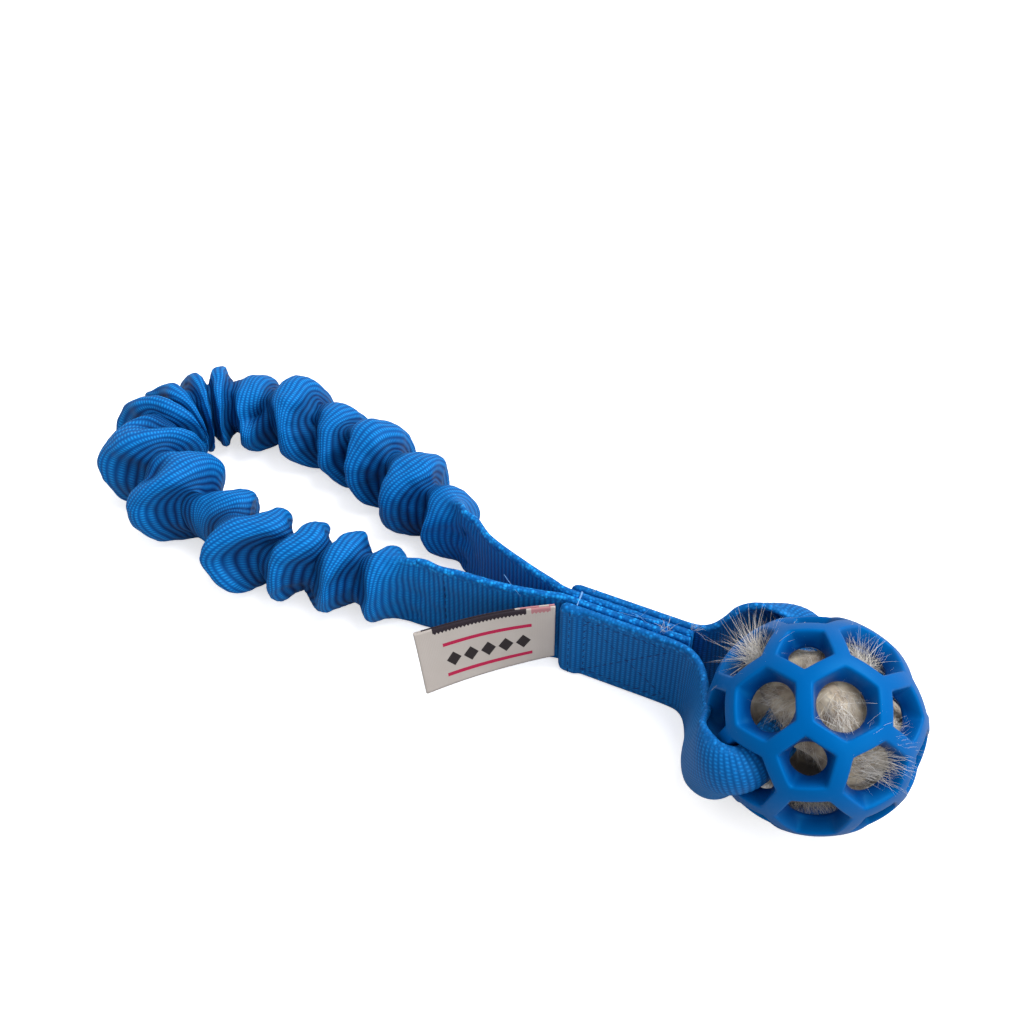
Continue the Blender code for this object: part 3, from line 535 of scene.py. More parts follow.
def webbing(name, deep, groove, rib, glint, relief, lint):
    """Nylon webbing with painted shade in its folds' valleys and rib grooves, and painted highlights on the
    floats.
    """
    material, tree, shader = new_material(name)
    place = object_place(tree)
    weave = step(tree, "ShaderNodeGroup", {
        "Cloth": cloth_place(tree), "Place": place, "Selvage": kept(tree, "selvage"),
        "Rib Pitch": RIB_PITCH, "Float Pitch": FLOAT_PITCH, "Lint": lint,
    }, node_tree=ribbed_weave).outputs
    # The fold mark is painted shade, darkest in the folds' valleys and pockets
    fold = ranged(tree, kept(tree, "fold"), VALLEY_SHADE, CREST_SHADE, interpolation_type="SMOOTHSTEP")
    patches = sums(tree, "ADD", clouds(tree, place, PATCHES_PER_METRE), weave["Grain"])
    mottled = sums(tree, "MULTIPLY_ADD", patches, MOTTLE, 1 - MOTTLE)
    # Painted shade: the grooves between the ribs darker than the ribs, and the valleys of the folds darker
    # still
    body = mixed(tree, sums(tree, "MULTIPLY", weave["Rib"], mottled), groove, rib)
    valley = mixed(tree, sums(tree, "MULTIPLY", weave["Rib"], VALLEY_RIB_SHARE), deep, groove)
    # Painted highlights: glints on the ribs' floats, stronger on the lighter crests of the folds
    painted_glint_mask = sums(tree, "MULTIPLY", sums(tree, "POWER", weave["Rib"], 2.0),
                 sums(tree, "POWER", weave["Float"], 2.0))
    painted_glint_strength = sums(tree, "MULTIPLY_ADD", fold, GLINT_ON_CREST, GLINT_IN_VALLEY)
    painted_glint_mask = sums(tree, "MULTIPLY", painted_glint_mask, painted_glint_strength)
    colour = mixed(tree, painted_glint_mask, mixed(tree, fold, valley, body), glint)
    fill(tree, shader, {
        "Base Color": mixed(tree, weave["Lint"], colour, LINT_COLOUR),
        "Roughness": sums(tree, "MULTIPLY_ADD", weave["Float"], -FLOAT_GLOSS, WEBBING_ROUGHNESS),
        "Specular IOR Level": 0.30, "Specular Tint": (0.15, 0.55, 1.0, 1), "Sheen Weight": 0.12,
        "Sheen Roughness": 0.35, "Sheen Tint": (0.10, 0.50, 1.0, 1),
        "Normal": bumped(tree, weave["Height"], relief, 0.8),
    })
    return material


# deep is the painted shade in the folds' valleys, groove the painted shade between the ribs, glint the
# painted highlight on the floats
sleeve_nylon = webbing(
    "sleeve_nylon", deep=(0.001, 0.012, 0.078), groove=(0.002, 0.080, 0.315), rib=(0.003, 0.126, 0.445),
    glint=(0.016, 0.38, 0.96), relief=0.09 * MM, lint=0.12,
)

cloth_edges = np.linspace(0, CLOTH_GIRTH, CLOTH_AROUND + 1)
grip_first, grip_last = fold_edges[GRIP_AFTER_FOLD], fold_edges[GRIP_LAST_FOLD]
sleeve_spans = (
    ("sleeve_tail_front", 0, fold_edges[0]), ("sleeve_leg_front", fold_edges[0], grip_first),
    ("sleeve_grip", grip_first, grip_last), ("sleeve_leg_back", grip_last, fold_edges[-1]),
    ("sleeve_tail_back", fold_edges[-1], len(sleeve_points) - 1),
)
for node, first, last in sleeve_spans:
    # Each piece keeps the painted shade of its folds as its fold mark
    piece = skin("woven_" + node, sleeve_points[first:last + 1], sleeve_cloth[first:last + 1], cloth_edges,
                 fold=sleeve_shade[first:last + 1], selvage=sleeve_selvage[first:last + 1])
    piece.data.materials.append(sleeve_nylon)
    if "tail" in node:
        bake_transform(piece)
    elif "leg" in node:
        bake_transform(piece)
    else:
        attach(piece, "grip")
    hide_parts(node)


# The ball strap: one length of the same webbing. Its front end is folded under at the neck, it runs in at
# the ball's near window and out at the far one, curled into a tube there, and back along the neck.
PLY_THICKNESS = 2.0 * MM
STRAP_RIB_RELIEF = 0.07 * MM
HEM_LENGTH = 4.5 * MM
HEM_EXTRA = 0.9 * MM
HEM_STEP = 2.4 * MM
HEM_NOSE = 1.3 * MM
HEM_CORNER = 2.6 * MM
FRONT_PLY = -2.3 * MM
BACK_PLY = 4.6 * MM
STRAP_STEP = 0.32 * MM
STRAP_SMOOTHING = 70
STRAP_SMOOTH_FROM = 9 * MM
STRAP_FACE_POINTS = 44
STRAP_EDGE_POINTS = 6
STRAP_FULL_CURL = math.radians(300)
STRAP_CRUMPLE_SHARE = 0.12
TOP_FLAT_UNTIL = 0.50
TOP_CURLED_FROM = 0.85
TOP_LEAST_CURL_SHARE = 0.35
LEAST_CURL = 0.004
LEANS_FROM_CURL = 0.4
HEM_NOSE_LEAST = 0.05
HEM_BACK_LEAST = 0.15
STRAP_SELVAGE_REACH = 1.3
LONG_SIDE_PERCENTILE = 85
# The strap's middle line: x, y, z in mm, how far it is curled into a tube, and its roll in degrees
STRAP_LINE = (
    (-16.8, -2.3, 12.5, 0, 0), (-10, -2.3, 12.5, 0, 0), (0, -2.3, 12.5, 0, 0), (12, -2.3, 12.5, 0, 0),
    (17.6, -2.9, 12.5, 0.01, 0), (21.1, -6.2, 12.7, 0.03, -3), (23.8, -12.0, 13.4, 0.06, -6),
    (25.8, -19.0, 15.2, 0.13, -10), (27.8, -25.5, 18.0, 0.26, -12), (31.0, -30.4, 20.6, 0.42, -8),
    (34.8, -33.6, 23.4, 0.62, 2), (38.6, -34.8, 25.6, 0.78, 14), (42.0, -33.0, 26.6, 0.84, 14),
    (44.0, -28.5, 27.0, 0.86, 8), (46.6, -19.0, 27.0, 0.85, 0), (47.0, -11.9, 26.9, 0.85, 0),
    (46.6, -3.0, 27.0, 0.85, 0), (46.1, 6.0, 27.0, 0.86, 0), (44.4, 11.6, 26.8, 0.86, 0),
    (40.8, 14.4, 26.6, 0.84, 0), (36.4, 14.4, 25.2, 0.68, 0), (31.0, 11.8, 22.0, 0.40, 0),
    (26.0, 8.6, 17.6, 0.15, 0), (21.4, 6.0, 13.8, 0.03, 0), (17.6, 4.8, 12.5, 0, 0),
    (12, 4.6, 12.5, 0, 0), (0, 4.6, 12.5, 0, 0), (-10, 4.6, 12.5, 0, 0), (-16.8, 4.6, 12.5, 0, 0),
)


def band_outline(count_face, count_edge):
    """A flat band's outline: a share of its width from -1 to 1, and of its half thickness."""
    outline = []
    for face in (1, -1):
        outline += [(face * (2 * i / (count_face - 1) - 1), face, 0.0) for i in range(count_face)]
        for i in range(1, count_edge):
            turn = math.pi * i / count_edge
            outline.append((face, face * math.cos(turn), math.sin(turn)))
    return np.array(outline)


def strap_grid():
    line = [(x * MM, y * MM, z * MM, curl, roll) for x, y, z, curl, roll in STRAP_LINE]
    line = smooth_line(line, STRAP_STEP)
    run = distances(line)
    heading = headings(line)
    outline = band_outline(STRAP_FACE_POINTS, STRAP_EDGE_POINTS)
    half_edge = PLY_THICKNESS / 2
    rows = []
    for (x, y, z, curl, roll), forward, place in zip(line, heading, run):
        curl = min(max(curl, LEAST_CURL), 1.0)
        lean = forward[2] * min(1.0, curl / LEANS_FROM_CURL)
        up = Vector((0, 0, 1)) - Vector(forward) * lean
        up = Matrix.Rotation(math.radians(roll), 3, Vector(forward)) @ up.normalized()
        out = Vector(forward).cross(up).normalized()
        half_angle = STRAP_FULL_CURL / 2 * curl
        short = max(HEM_CORNER - place, HEM_CORNER - (run[-1] - place), 0)
        corner = HEM_CORNER - math.sqrt(HEM_CORNER ** 2 - short ** 2)
        width = WEBBING_WIDTH * (1 - STRAP_CRUMPLE_SHARE * curl) - 2 * corner
        radius = width / 2 / half_angle
        core = Vector((x, y, z)) - out * radius * math.sin(half_angle) / half_angle
        angle = half_angle * (1 - half_edge / (WEBBING_WIDTH / 2)) * outline[:, 0]
        past = min(max((place - HEM_LENGTH) / HEM_STEP, 0.0), 1.0)
        hem = HEM_EXTRA * (1 - past * past * (3 - 2 * past))
        back = (run[-1] - place) / HEM_CORNER + HEM_BACK_LEAST
        nose = min(1.0, place / HEM_NOSE + HEM_NOSE_LEAST, back) ** 0.5
        thick = (outline[:, 1] * half_edge + np.maximum(outline[:, 1], 0) * hem) * nose
        late = np.interp(curl, (TOP_FLAT_UNTIL, TOP_CURLED_FROM), (TOP_LEAST_CURL_SHARE, 1.0))
        bend = np.where(angle > 0, late, 1.0)
        angle = angle * bend
        spoke = np.outer(np.cos(angle), out) + np.outer(np.sin(angle), up)
        along = np.outer(-np.sin(angle), out) + np.outer(np.cos(angle), up)
        points = np.array(core + out * radius) + np.outer(np.sin(angle) * radius / bend, up)
        points += np.outer((np.cos(angle) - 1) * radius / bend, out) + spoke * thick[:, None]
        points += along * (outline[:, 2] * half_edge * np.sign(outline[:, 0]))[:, None]
        rows.append(points)
    points = np.array(rows)
    loose = ((run > STRAP_SMOOTH_FROM) & (run < run[-1] - STRAP_SMOOTH_FROM))[1:-1, None, None]
    for _ in range(STRAP_SMOOTHING):
        eased = (points[:-2] + 2 * points[1:-1] + points[2:]) / 4
        points[1:-1] = np.where(loose, eased, points[1:-1])
    lengths = np.linalg.norm(np.diff(points, axis=0), axis=-1)
    lengths = np.percentile(lengths, LONG_SIDE_PERCENTILE, axis=1)
    return points, np.concatenate([[0.0], np.cumsum(lengths)]), outline


strap_points, strap_run, strap_outline = strap_grid()
strap_inset = (np.abs(strap_outline[:, 0]) - 1) * WEBBING_WIDTH / 2 / SELVAGE_WIDTH
strap_selvage = np.clip(strap_inset + STRAP_SELVAGE_REACH, 0, 1)
strap_selvage = strap_selvage[None, :] * np.ones(len(strap_points))[:, None]
strap_points = ribbed(strap_points, strap_run, strap_selvage, STRAP_RIB_RELIEF)
steps = np.linalg.norm(np.diff(strap_points[0], axis=0, append=strap_points[0][:1]), axis=1)
strap_girth = np.concatenate([[0.0], np.cumsum(steps)])
# The strap lies flat: its painted fold shade is one middle value all along, and its colour has the webbing's
# painted groove shade and painted glints
strap = skin("ball_strap_webbing", strap_points, strap_run, strap_girth,
             fold=np.full(strap_points.shape[:2], FLAT_SHADE), selvage=strap_selvage)
strap.data.materials.append(webbing(
    "strap_nylon", deep=(0.001, 0.014, 0.085), groove=(0.002, 0.084, 0.300), rib=(0.004, 0.122, 0.410),
    glint=(0.012, 0.26, 0.75), relief=0.05 * MM, lint=0.35,
))
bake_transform(strap)
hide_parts("strap_end_front", "strap_loop", "strap_end_back")


# The ball: a moulded rubber lattice two inches across, its struts laid out as a truncated icosahedron. Each
# window is a hexagon or a pentagon outside, and its walls run in to a round opening.
BALL_RADIUS = 25.4 * MM
BALL_CENTRE = Vector((51.8 * MM, -12.25 * MM, BALL_RADIUS))
BALL_WALL = 4.6 * MM
BALL_YAW = math.radians(3.9)
BALL_ROLL = math.radians(17.2)
WINDOWS_APART = math.radians(138.19)
SIDE_POINTS = 9
BALL_UNEVENNESS = 0.12 * MM
BALL_UNEVENNESS_SIZE = 9 * MM
RUBBER_BLUES = ((0.0, 0.094, 0.340), (0.0, 0.115, 0.398))
# The next colour is painted shade for the windows' walls
RUBBER_PAINTED_SHADE = (0.0, 0.032, 0.165)
RUBBER_DUST = (0.10, 0.30, 0.62)
PAINTED_SHADE_SHARE = 0.92
BLOOM_PER_METRE = 55.0
DUST_PER_METRE = 900.0
DUST_FROM = 0.68
DUST_FULL = 0.80
DUST_SHARE = 0.25
DUST_DULLING = 0.18
RUBBER_ROUGHNESS = 0.28
# The painted shade on the walls starts this deep below the outer surface and is full at the next depth
RIM_DEPTH = 0.4 * MM
FULL_SHADE_DEPTH = 3.2 * MM
# Round a window's rim and down its wall: how far from the strut's middle and how deep, both in mm, and how
# square the outline is, where 2 is a circle and more is nearer to the straight-sided window
WALL_RINGS = (
    (1.30, 0.00, 60), (1.57, 0.05, 54), (1.80, 0.20, 48), (1.94, 0.43, 42), (2.02, 0.80, 34),
    (2.14, 1.80, 16), (2.28, 2.80, 7), (2.42, 3.60, 3.6), (2.50, 4.05, 2.6), (2.36, 4.38, 2.2),
    (2.05, 4.56, 2.1), (1.00, 4.60, 3),
)
ball_chord = Vector((math.sin(BALL_YAW), math.cos(BALL_YAW), 0))
ball_level = Vector((-ball_chord.y, ball_chord.x, 0))
ball_neckward = ball_level * math.cos(BALL_ROLL) + Vector((0, 0, 1)) * math.sin(BALL_ROLL)


def lattice_windows():
    """The windows' corners as directions from the ball's centre, two windows turned to the strap."""
    shape = bmesh.new()
    bmesh.ops.create_icosphere(shape, subdivisions=1, radius=1.0)
    shape.normal_update()
    hexagons = [face.calc_center_median().normalized() for face in shape.faces]
    first = hexagons[0]
    second = min(hexagons, key=lambda n: abs(n.angle(first) - WINDOWS_APART))
    bmesh.ops.bevel(shape, geom=list(shape.verts), offset=100 / 3, offset_type="PERCENT", affect="VERTICES",
                    segments=1, clamp_overlap=False)
    bmesh.ops.remove_doubles(shape, verts=shape.verts, dist=0.01)
    chord, neckward = (second - first).normalized(), (second + first).normalized()
    here = Matrix((chord, neckward, chord.cross(neckward)))
    there = Matrix((ball_chord, ball_neckward, ball_chord.cross(ball_neckward))).transposed()
    windows = [[(there @ here @ vert.co).normalized() for vert in face.verts] for face in shape.faces]
    shape.free()
    return windows


def window_rings(corners):
    """One window's rings of points, from the strut's middle line outside to the same line inside."""
    middle = sum(corners, Vector()).normalized()
    rim = []
    for start, end in zip(corners, corners[1:] + corners[:1]):
        rim += [start.lerp(end, i / SIDE_POINTS).normalized() for i in range(SIDE_POINTS)]
    rim = np.array(rim)
    flat = rim / (rim @ np.array(middle))[:, None] - np.array(middle)
    across = Vector(flat[0]).normalized()
    turn = np.arctan2(flat @ np.array(middle.cross(across)), flat @ np.array(across))
    sides = math.pi * (2 * np.arange(len(corners)) + 1) / len(corners) * np.sign(turn[1])
    reach = np.linalg.norm(flat, axis=1).max() * math.cos(math.pi / len(corners))
    rings = [rim * BALL_RADIUS]
    for aside, deep, squareness in WALL_RINGS:
        facing = np.maximum(np.cos(turn[:, None] - sides), 0)
        full = (np.maximum(np.cos(sides[0] - sides), 0) ** squareness).sum()
        outline = (facing ** squareness).sum(1) / full
        outline = outline ** (-1 / squareness) * math.tan(math.atan(reach) - aside * MM / BALL_RADIUS)
        spokes = np.array(middle) + outline[:, None] * (flat / np.linalg.norm(flat, axis=1)[:, None])
        spokes /= np.linalg.norm(spokes, axis=1)[:, None]
        rings.append(spokes * (BALL_RADIUS - deep * MM))
    rings.append(rim * (BALL_RADIUS - BALL_WALL))
    return rings


def mesh_of(name, shape):
    """A smooth mesh with a bmesh's shape, which ends there."""
    mesh = bpy.data.meshes.new(name)
    shape.to_mesh(mesh)
    shape.free()
    mesh.shade_smooth()
    return mesh


ball_shape = bmesh.new()
for corners in lattice_windows():
    rings = [[ball_shape.verts.new(point) for point in ring] for ring in window_rings(corners)]
    for outer, inner in zip(rings, rings[1:]):
        for i in range(len(outer)):
            ball_shape.faces.new((outer[i - 1], outer[i], inner[i], inner[i - 1]))
bmesh.ops.remove_doubles(ball_shape, verts=ball_shape.verts, dist=0.02 * MM)
bmesh.ops.recalc_face_normals(ball_shape, faces=ball_shape.faces)
for vert in ball_shape.verts:
    vert.co += vert.co.normalized() * noise.noise(vert.co / BALL_UNEVENNESS_SIZE) * BALL_UNEVENNESS
    vert.co += BALL_CENTRE
    vert.co.z = max(vert.co.z, FLOOR_LIMIT)
ball_mesh = mesh_of("lattice_ball", ball_shape)
# Each point keeps how deep it lies below the ball's outer surface, for the painted shade on the windows'
# walls
keep_on(ball_mesh, "depth", [BALL_RADIUS - (vert.co - BALL_CENTRE).length for vert in ball_mesh.vertices])
ball = in_scene("lattice_ball", ball_mesh)

rubber, tree, shader = new_material("moulded_rubber")
place = object_place(tree)
dust = clouds(tree, place, DUST_PER_METRE, 3.0, 0.75)
specks = sums(tree, "MULTIPLY", ranged(tree, dust, DUST_FROM, DUST_FULL), DUST_SHARE)
# Painted shade: the windows' walls darker the deeper they run in
wall_shade = ranged(tree, kept(tree, "depth"), RIM_DEPTH, FULL_SHADE_DEPTH, PAINTED_SHADE_SHARE)
colour = mixed(tree, wall_shade, mixed(tree, clouds(tree, place, BLOOM_PER_METRE), *RUBBER_BLUES), RUBBER_PAINTED_SHADE)
fill(tree, shader, {
    "Base Color": mixed(tree, specks, colour, RUBBER_DUST),
    "Roughness": sums(tree, "MULTIPLY_ADD", dust, DUST_DULLING, RUBBER_ROUGHNESS),
    "Specular IOR Level": 0.30, "Specular Tint": (0.02, 0.50, 1.0, 1),
    "Normal": bumped(tree, dust, 0.03 * MM, 0.6),
})
ball_mesh.materials.append(rubber)
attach(ball, "ball")
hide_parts("ball")


# The fur: two strips of rabbit pelt pushed into the ball round the strap, lumpy hide under hair that lies
# every way, with long hairs out of several windows.
FUR_OUTER_RADIUS = 20.0 * MM
FUR_THICKNESS = 7.4 * MM
FUR_FIRST = math.radians(18)
FUR_LAST = math.radians(177)
FUR_HALF_BREADTH = math.radians(64)
FUR_RINGS = 72
FUR_AROUND = 84
FUR_LUMP = 1.7 * MM
FUR_LUMP_SIZE = 6.5 * MM
HAIR_LENGTH = 6.5 * MM
HAIR_THICKNESS = 0.075 * MM
HAIR_BEND = 1.6 * MM
HAIR_SEGMENTS = 4
HAIRS_PER_SQUARE_METRE = 5.3e6
HIDDEN_HAIR_SHARE = 0.05
WINDOW_HAIR_REACH = 8.5 * MM
WINDOW_SWELL = 2.6 * MM
WINDOW_SWELL_REACH = 4.5 * MM
SWELL_POWER = 7
LEAST_SWELL = 0.02
BREADTH_AT_START = 0.42
BREADTH_GROWTH = 2.0
THICKNESS_AT_START = 0.5
THICKNESS_GROWTH = 1.2
FINE_LUMP = 0.35 * MM
FINE_LUMP_SIZE = 2.4 * MM
HAIR_WAVE_SIZE = 8 * MM
HAIR_WAVE = 1.6
USUAL_HAIR = 0.8
HAIR_ON_SIDE_FROM = 0.2
INNER_PUSH = 0.10
HAIR_TAPER = 0.8
HAIR_SHORTEST = 0.55
HAIR_LONGEST = 1.25
HAIR_SHADE = 0.44
DARK_UNTIL = 0.34
LIGHT_FROM = 0.66
# Tufts: the direction of a window from the ball's centre, the way its hair lies, how far it spreads in mm,
# how long its hairs are against the rest, and how much the pelt bulges or sinks there, in mm
TUFTS = (
    ((-0.76, 0.05, 0.65), (-0.85, 0.25, 0.45), 5.5, 2.10, 2.4),
    ((-0.68, 0.36, 0.64), (0.10, 0.90, 0.50), 3.5, 1.35, 0.4),
    ((-0.42, -0.55, 0.72), (-0.30, -0.60, 0.10), 5.0, 0.75, 0.6),
    ((0.25, -0.38, 0.89), (0.55, -0.75, 0.00), 6.0, 1.60, 1.0),
    ((0.30, 0.34, 0.89), (0.10, 0.75, 0.70), 5.0, 1.25, 2.2),
    ((0.68, -0.62, 0.38), (1.00, 0.00, 0.10), 6.5, 1.80, 2.0),
    ((0.75, -0.05, 0.66), (0.80, -0.40, 0.30), 4.0, 0.80, 0.0),
    ((0.10, -0.86, 0.50), (0.20, -0.50, -0.60), 4.5, 0.55, 2.6),
    ((-0.38, -0.52, 0.76), (0.10, -0.50, -0.20), 2.2, 0.50, -3.5),
    ((-0.22, -0.95, -0.20), (0.00, -0.20, -1.00), 4.5, 0.50, -3.0),
    ((-0.25, 0.02, 0.97), (-0.30, 0.40, 0.30), 4.0, 0.50, 1.4),
    ((0.28, -0.95, -0.11), (0.30, -0.60, -0.30), 5.0, 0.80, 0.5),
    ((0.93, -0.15, 0.35), (0.60, -0.50, 0.40), 6.0, 0.80, 2.5),
    ((0.95, 0.28, 0.02), (0.20, -0.30, 0.80), 6.0, 1.10, 3.5),
)


def pelt(name, side):
    """One lumpy strip round the strap, with the lie, length and cover of its hair kept on its points."""
    across = np.array(ball_chord.cross(ball_neckward)) * side
    chord, neckward = np.array(ball_chord), np.array(ball_neckward)
    turn = np.arange(FUR_AROUND) / FUR_AROUND * 2 * math.pi
    rings = []
    for share in np.linspace(0, 1, FUR_RINGS):
        angle = FUR_FIRST + (FUR_LAST - FUR_FIRST) * share
        swell = max(LEAST_SWELL, 1 - abs(2 * share - 1) ** SWELL_POWER) ** 0.5
        breadth = FUR_HALF_BREADTH * swell * min(1.0, BREADTH_AT_START + BREADTH_GROWTH * share)
        tilt = breadth * np.sin(turn)
        depth = FUR_THICKNESS * min(1.0, THICKNESS_AT_START + THICKNESS_GROWTH * share)
        depth = depth * swell * (1 - np.cos(turn)) / 2
        radial = neckward * math.cos(angle) + across * math.sin(angle)
        spokes = np.cos(tilt)[:, None] * radial + np.sin(tilt)[:, None] * chord
        rings.append(spokes * (FUR_OUTER_RADIUS - FUR_LUMP - depth)[:, None])
    grid = np.array(rings)
    spokes = grid / np.linalg.norm(grid, axis=-1, keepdims=True)
    push = crumpled(grid, FUR_LUMP_SIZE, seed=11.3 * side) * FUR_LUMP
    push = push + crumpled(grid, FINE_LUMP_SIZE, seed=4.1) * FINE_LUMP
    lay = np.stack([crumpled(grid, HAIR_WAVE_SIZE, seed) for seed in (21.7, 33.1, 45.9)], axis=-1) * HAIR_WAVE
    lay -= spokes * (lay * spokes).sum(-1, keepdims=True)
    longer = np.full(grid.shape[:2], USUAL_HAIR)
    cover = (np.cos(turn) > HAIR_ON_SIDE_FROM)[None, :] * np.ones_like(longer)
    nearest = np.full(grid.shape[:2], FUR_OUTER_RADIUS)
    for corners in lattice_windows():
        middle = np.array(sum(corners, Vector()).normalized()) * FUR_OUTER_RADIUS
        nearest = np.minimum(nearest, np.linalg.norm(grid - middle, axis=-1))
    cover = cover * np.where(nearest < WINDOW_HAIR_REACH, 1.0, HIDDEN_HAIR_SHARE)
    for window, way, spread, length, bulge in TUFTS:
        middle = np.array(Vector(window).normalized()) * FUR_OUTER_RADIUS
        near = np.exp(-(np.linalg.norm(grid - middle, axis=-1) / (spread * MM)) ** 2)
        push = push + near * bulge * MM
        lay = lay * (1 - near)[..., None] + np.array(Vector(way).normalized()) * near[..., None]
        longer = longer * (1 - near) + length * near
    push = push * (INNER_PUSH + (1 - INNER_PUSH) * (1 + np.cos(turn)) / 2)
    room = FUR_OUTER_RADIUS - np.linalg.norm(grid, axis=-1)
    room = room + WINDOW_SWELL * np.exp(-(nearest / WINDOW_SWELL_REACH) ** 2)
    grid = grid + spokes * np.minimum(push, room)[..., None] + np.array(BALL_CENTRE)
    return skin(name, grid, np.linspace(0, 1, FUR_RINGS), np.linspace(0, 1, FUR_AROUND + 1), lay=lay,
                longer=longer, cover=cover)


def strand(name, length, thickness, bend, segments):
    """One tapered, bent, three-sided hair, standing on the origin along Z."""
    mesh = bpy.data.meshes.new(name)
    points, faces = [], []
    for i in range(segments):
        share = i / segments
        for j in range(3):
            turn = 2 * math.pi * j / 3
            wide = thickness / 2 * (1 - HAIR_TAPER * share)
            points.append((math.cos(turn) * wide + bend * share ** 2, math.sin(turn) * wide, length * share))
    points.append((bend, 0, length))
    for i in range(segments - 1):
        for j in range(3):
            k = (j + 1) % 3
            faces.append((3 * i + j, 3 * i + k, 3 * i + 3 + k, 3 * i + 3 + j))
    faces += [(3 * segments - 3 + j, 3 * segments - 3 + (j + 1) % 3, 3 * segments) for j in range(3)]
    faces.append((2, 1, 0))
    mesh.from_pydata(points, [], faces)
    mesh.shade_smooth()
    return bpy.data.objects.new(name, mesh)


def vectors(tree, operation, first, second):
    """Two vectors added, or a vector scaled by a number."""
    inputs = {0: first, "Scale" if operation == "SCALE" else 1: second}
    return step(tree, "ShaderNodeVectorMath", inputs, operation=operation).outputs["Vector"]


def planted(group, given, put, shape, **inputs):
    """Ends a group with a shape on every point, made real and given its material."""
    instance = step(group, "GeometryNodeObjectInfo", [given[shape]]).outputs["Geometry"]
    placed = step(group, "GeometryNodeInstanceOnPoints", {"Instance": instance, **inputs})
    real = step(group, "GeometryNodeRealizeInstances", [placed.outputs["Instances"]])
    dressed = step(group, "GeometryNodeSetMaterial", {
        "Geometry": real.outputs["Geometry"], "Material": given["Material"],
    })
    fill(group, put, {"Geometry": dressed.outputs["Geometry"]})
    return group


def strand_cover_group():
    """Hairs over a surface: where its cover is, along its lay, and as long as its longer says."""
    group, given, put = new_group("strand_cover", "GeometryNodeTree", (
        ("Geometry", "Geometry"), ("Strand", "Object"), ("Density", "Float", 1e6), ("Lift", "Float", 0.35),
        ("Spread", "Float", 0.35), ("Seed", "Int", 1), ("Material", "Material"),
    ), [("Geometry", "Geometry")])
    seed = given["Seed"]
    cover, longer, lay = (
        step(group, "GeometryNodeInputNamedAttribute", {"Name": mark}, data_type=kind).outputs["Attribute"]
        for mark, kind in (("cover", "FLOAT"), ("longer", "FLOAT"), ("lay", "FLOAT_VECTOR"))
    )
    roots = step(group, "GeometryNodeDistributePointsOnFaces", {
        "Mesh": given["Geometry"], "Density": sums(group, "MULTIPLY", given["Density"], cover), "Seed": seed,
    })
    shaken = step(group, "FunctionNodeRandomValue", {
        "Min": (-1, -1, -1), "Max": (1, 1, 1), "Seed": seed,
    }, data_type="FLOAT_VECTOR")
    lifted = vectors(group, "SCALE", roots.outputs["Normal"], given["Lift"])
    spread = vectors(group, "SCALE", shaken.outputs["Value"], given["Spread"])
    way = vectors(group, "ADD", vectors(group, "ADD", lifted, lay), spread)
    turned = step(group, "FunctionNodeAlignRotationToVector", {"Vector": way}, axis="Z")
    rolled = step(group, "FunctionNodeRandomValue", {3: 2 * math.pi, "Seed": seed}, data_type="FLOAT")
    roll = step(group, "FunctionNodeAxisAngleToRotation", {"Axis": (0, 0, 1), "Angle": rolled.outputs[1]})
    both = step(group, "FunctionNodeRotateRotation", [turned.outputs["Rotation"], roll.outputs["Rotation"]],
                rotation_space="LOCAL")
    varied = step(group, "FunctionNodeRandomValue", {2: HAIR_SHORTEST, 3: HAIR_LONGEST, "Seed": seed},
                  data_type="FLOAT")
    scale = sums(group, "MULTIPLY", varied.outputs[1], longer)
    return planted(group, given, put, "Strand", Points=roots.outputs["Points"],
                   Rotation=both.outputs["Rotation"], Scale=scale)


def made_by(name, source, group, **values):
    """What a node group makes of a mesh, as an object of its own."""
    carrier = in_scene(name + "_carrier", source)
    modifier = carrier.modifiers.new("nodes", "NODES")
    modifier.node_group = group
    for item in group.interface.items_tree:
        if item.in_out == "INPUT" and item.name in values:
            modifier[item.identifier] = values[item.name]
    bpy.context.view_layer.update()
    graph = bpy.context.evaluated_depsgraph_get()
    mesh = bpy.data.meshes.new_from_object(carrier.evaluated_get(graph), depsgraph=graph)
    mesh.name = name
    carrier.modifiers.remove(modifier)
    bpy.data.objects.remove(carrier)
    return in_scene(name, mesh)


def fur_material(name, dark, middle, light, patch):
    """Hide or hair in patches of three colours, and every hair a little lighter or darker."""
    material, tree, shader = new_material(name)
    strands = step(tree, "ShaderNodeNewGeometry").outputs["Random Per Island"]
    strands = sums(tree, "MULTIPLY_ADD", strands, HAIR_SHADE, -HAIR_SHADE / 2)
    ramp = step(tree, "ShaderNodeValToRGB", [
        sums(tree, "ADD", clouds(tree, object_place(tree), 1 / patch), strands),
    ])
    stops = ramp.color_ramp.elements
    for stop, position, colour in zip(stops, (DARK_UNTIL, LIGHT_FROM), (dark, light)):
        stop.position = position
        stop.color = (*colour, 1)
    stops.new(0.5).color = (*middle, 1)
    fill(tree, shader, {
        "Base Color": ramp.outputs["Color"], "Roughness": 0.6, "Specular IOR Level": 0.25,
        "Sheen Weight": 0.3,
    })
    return material


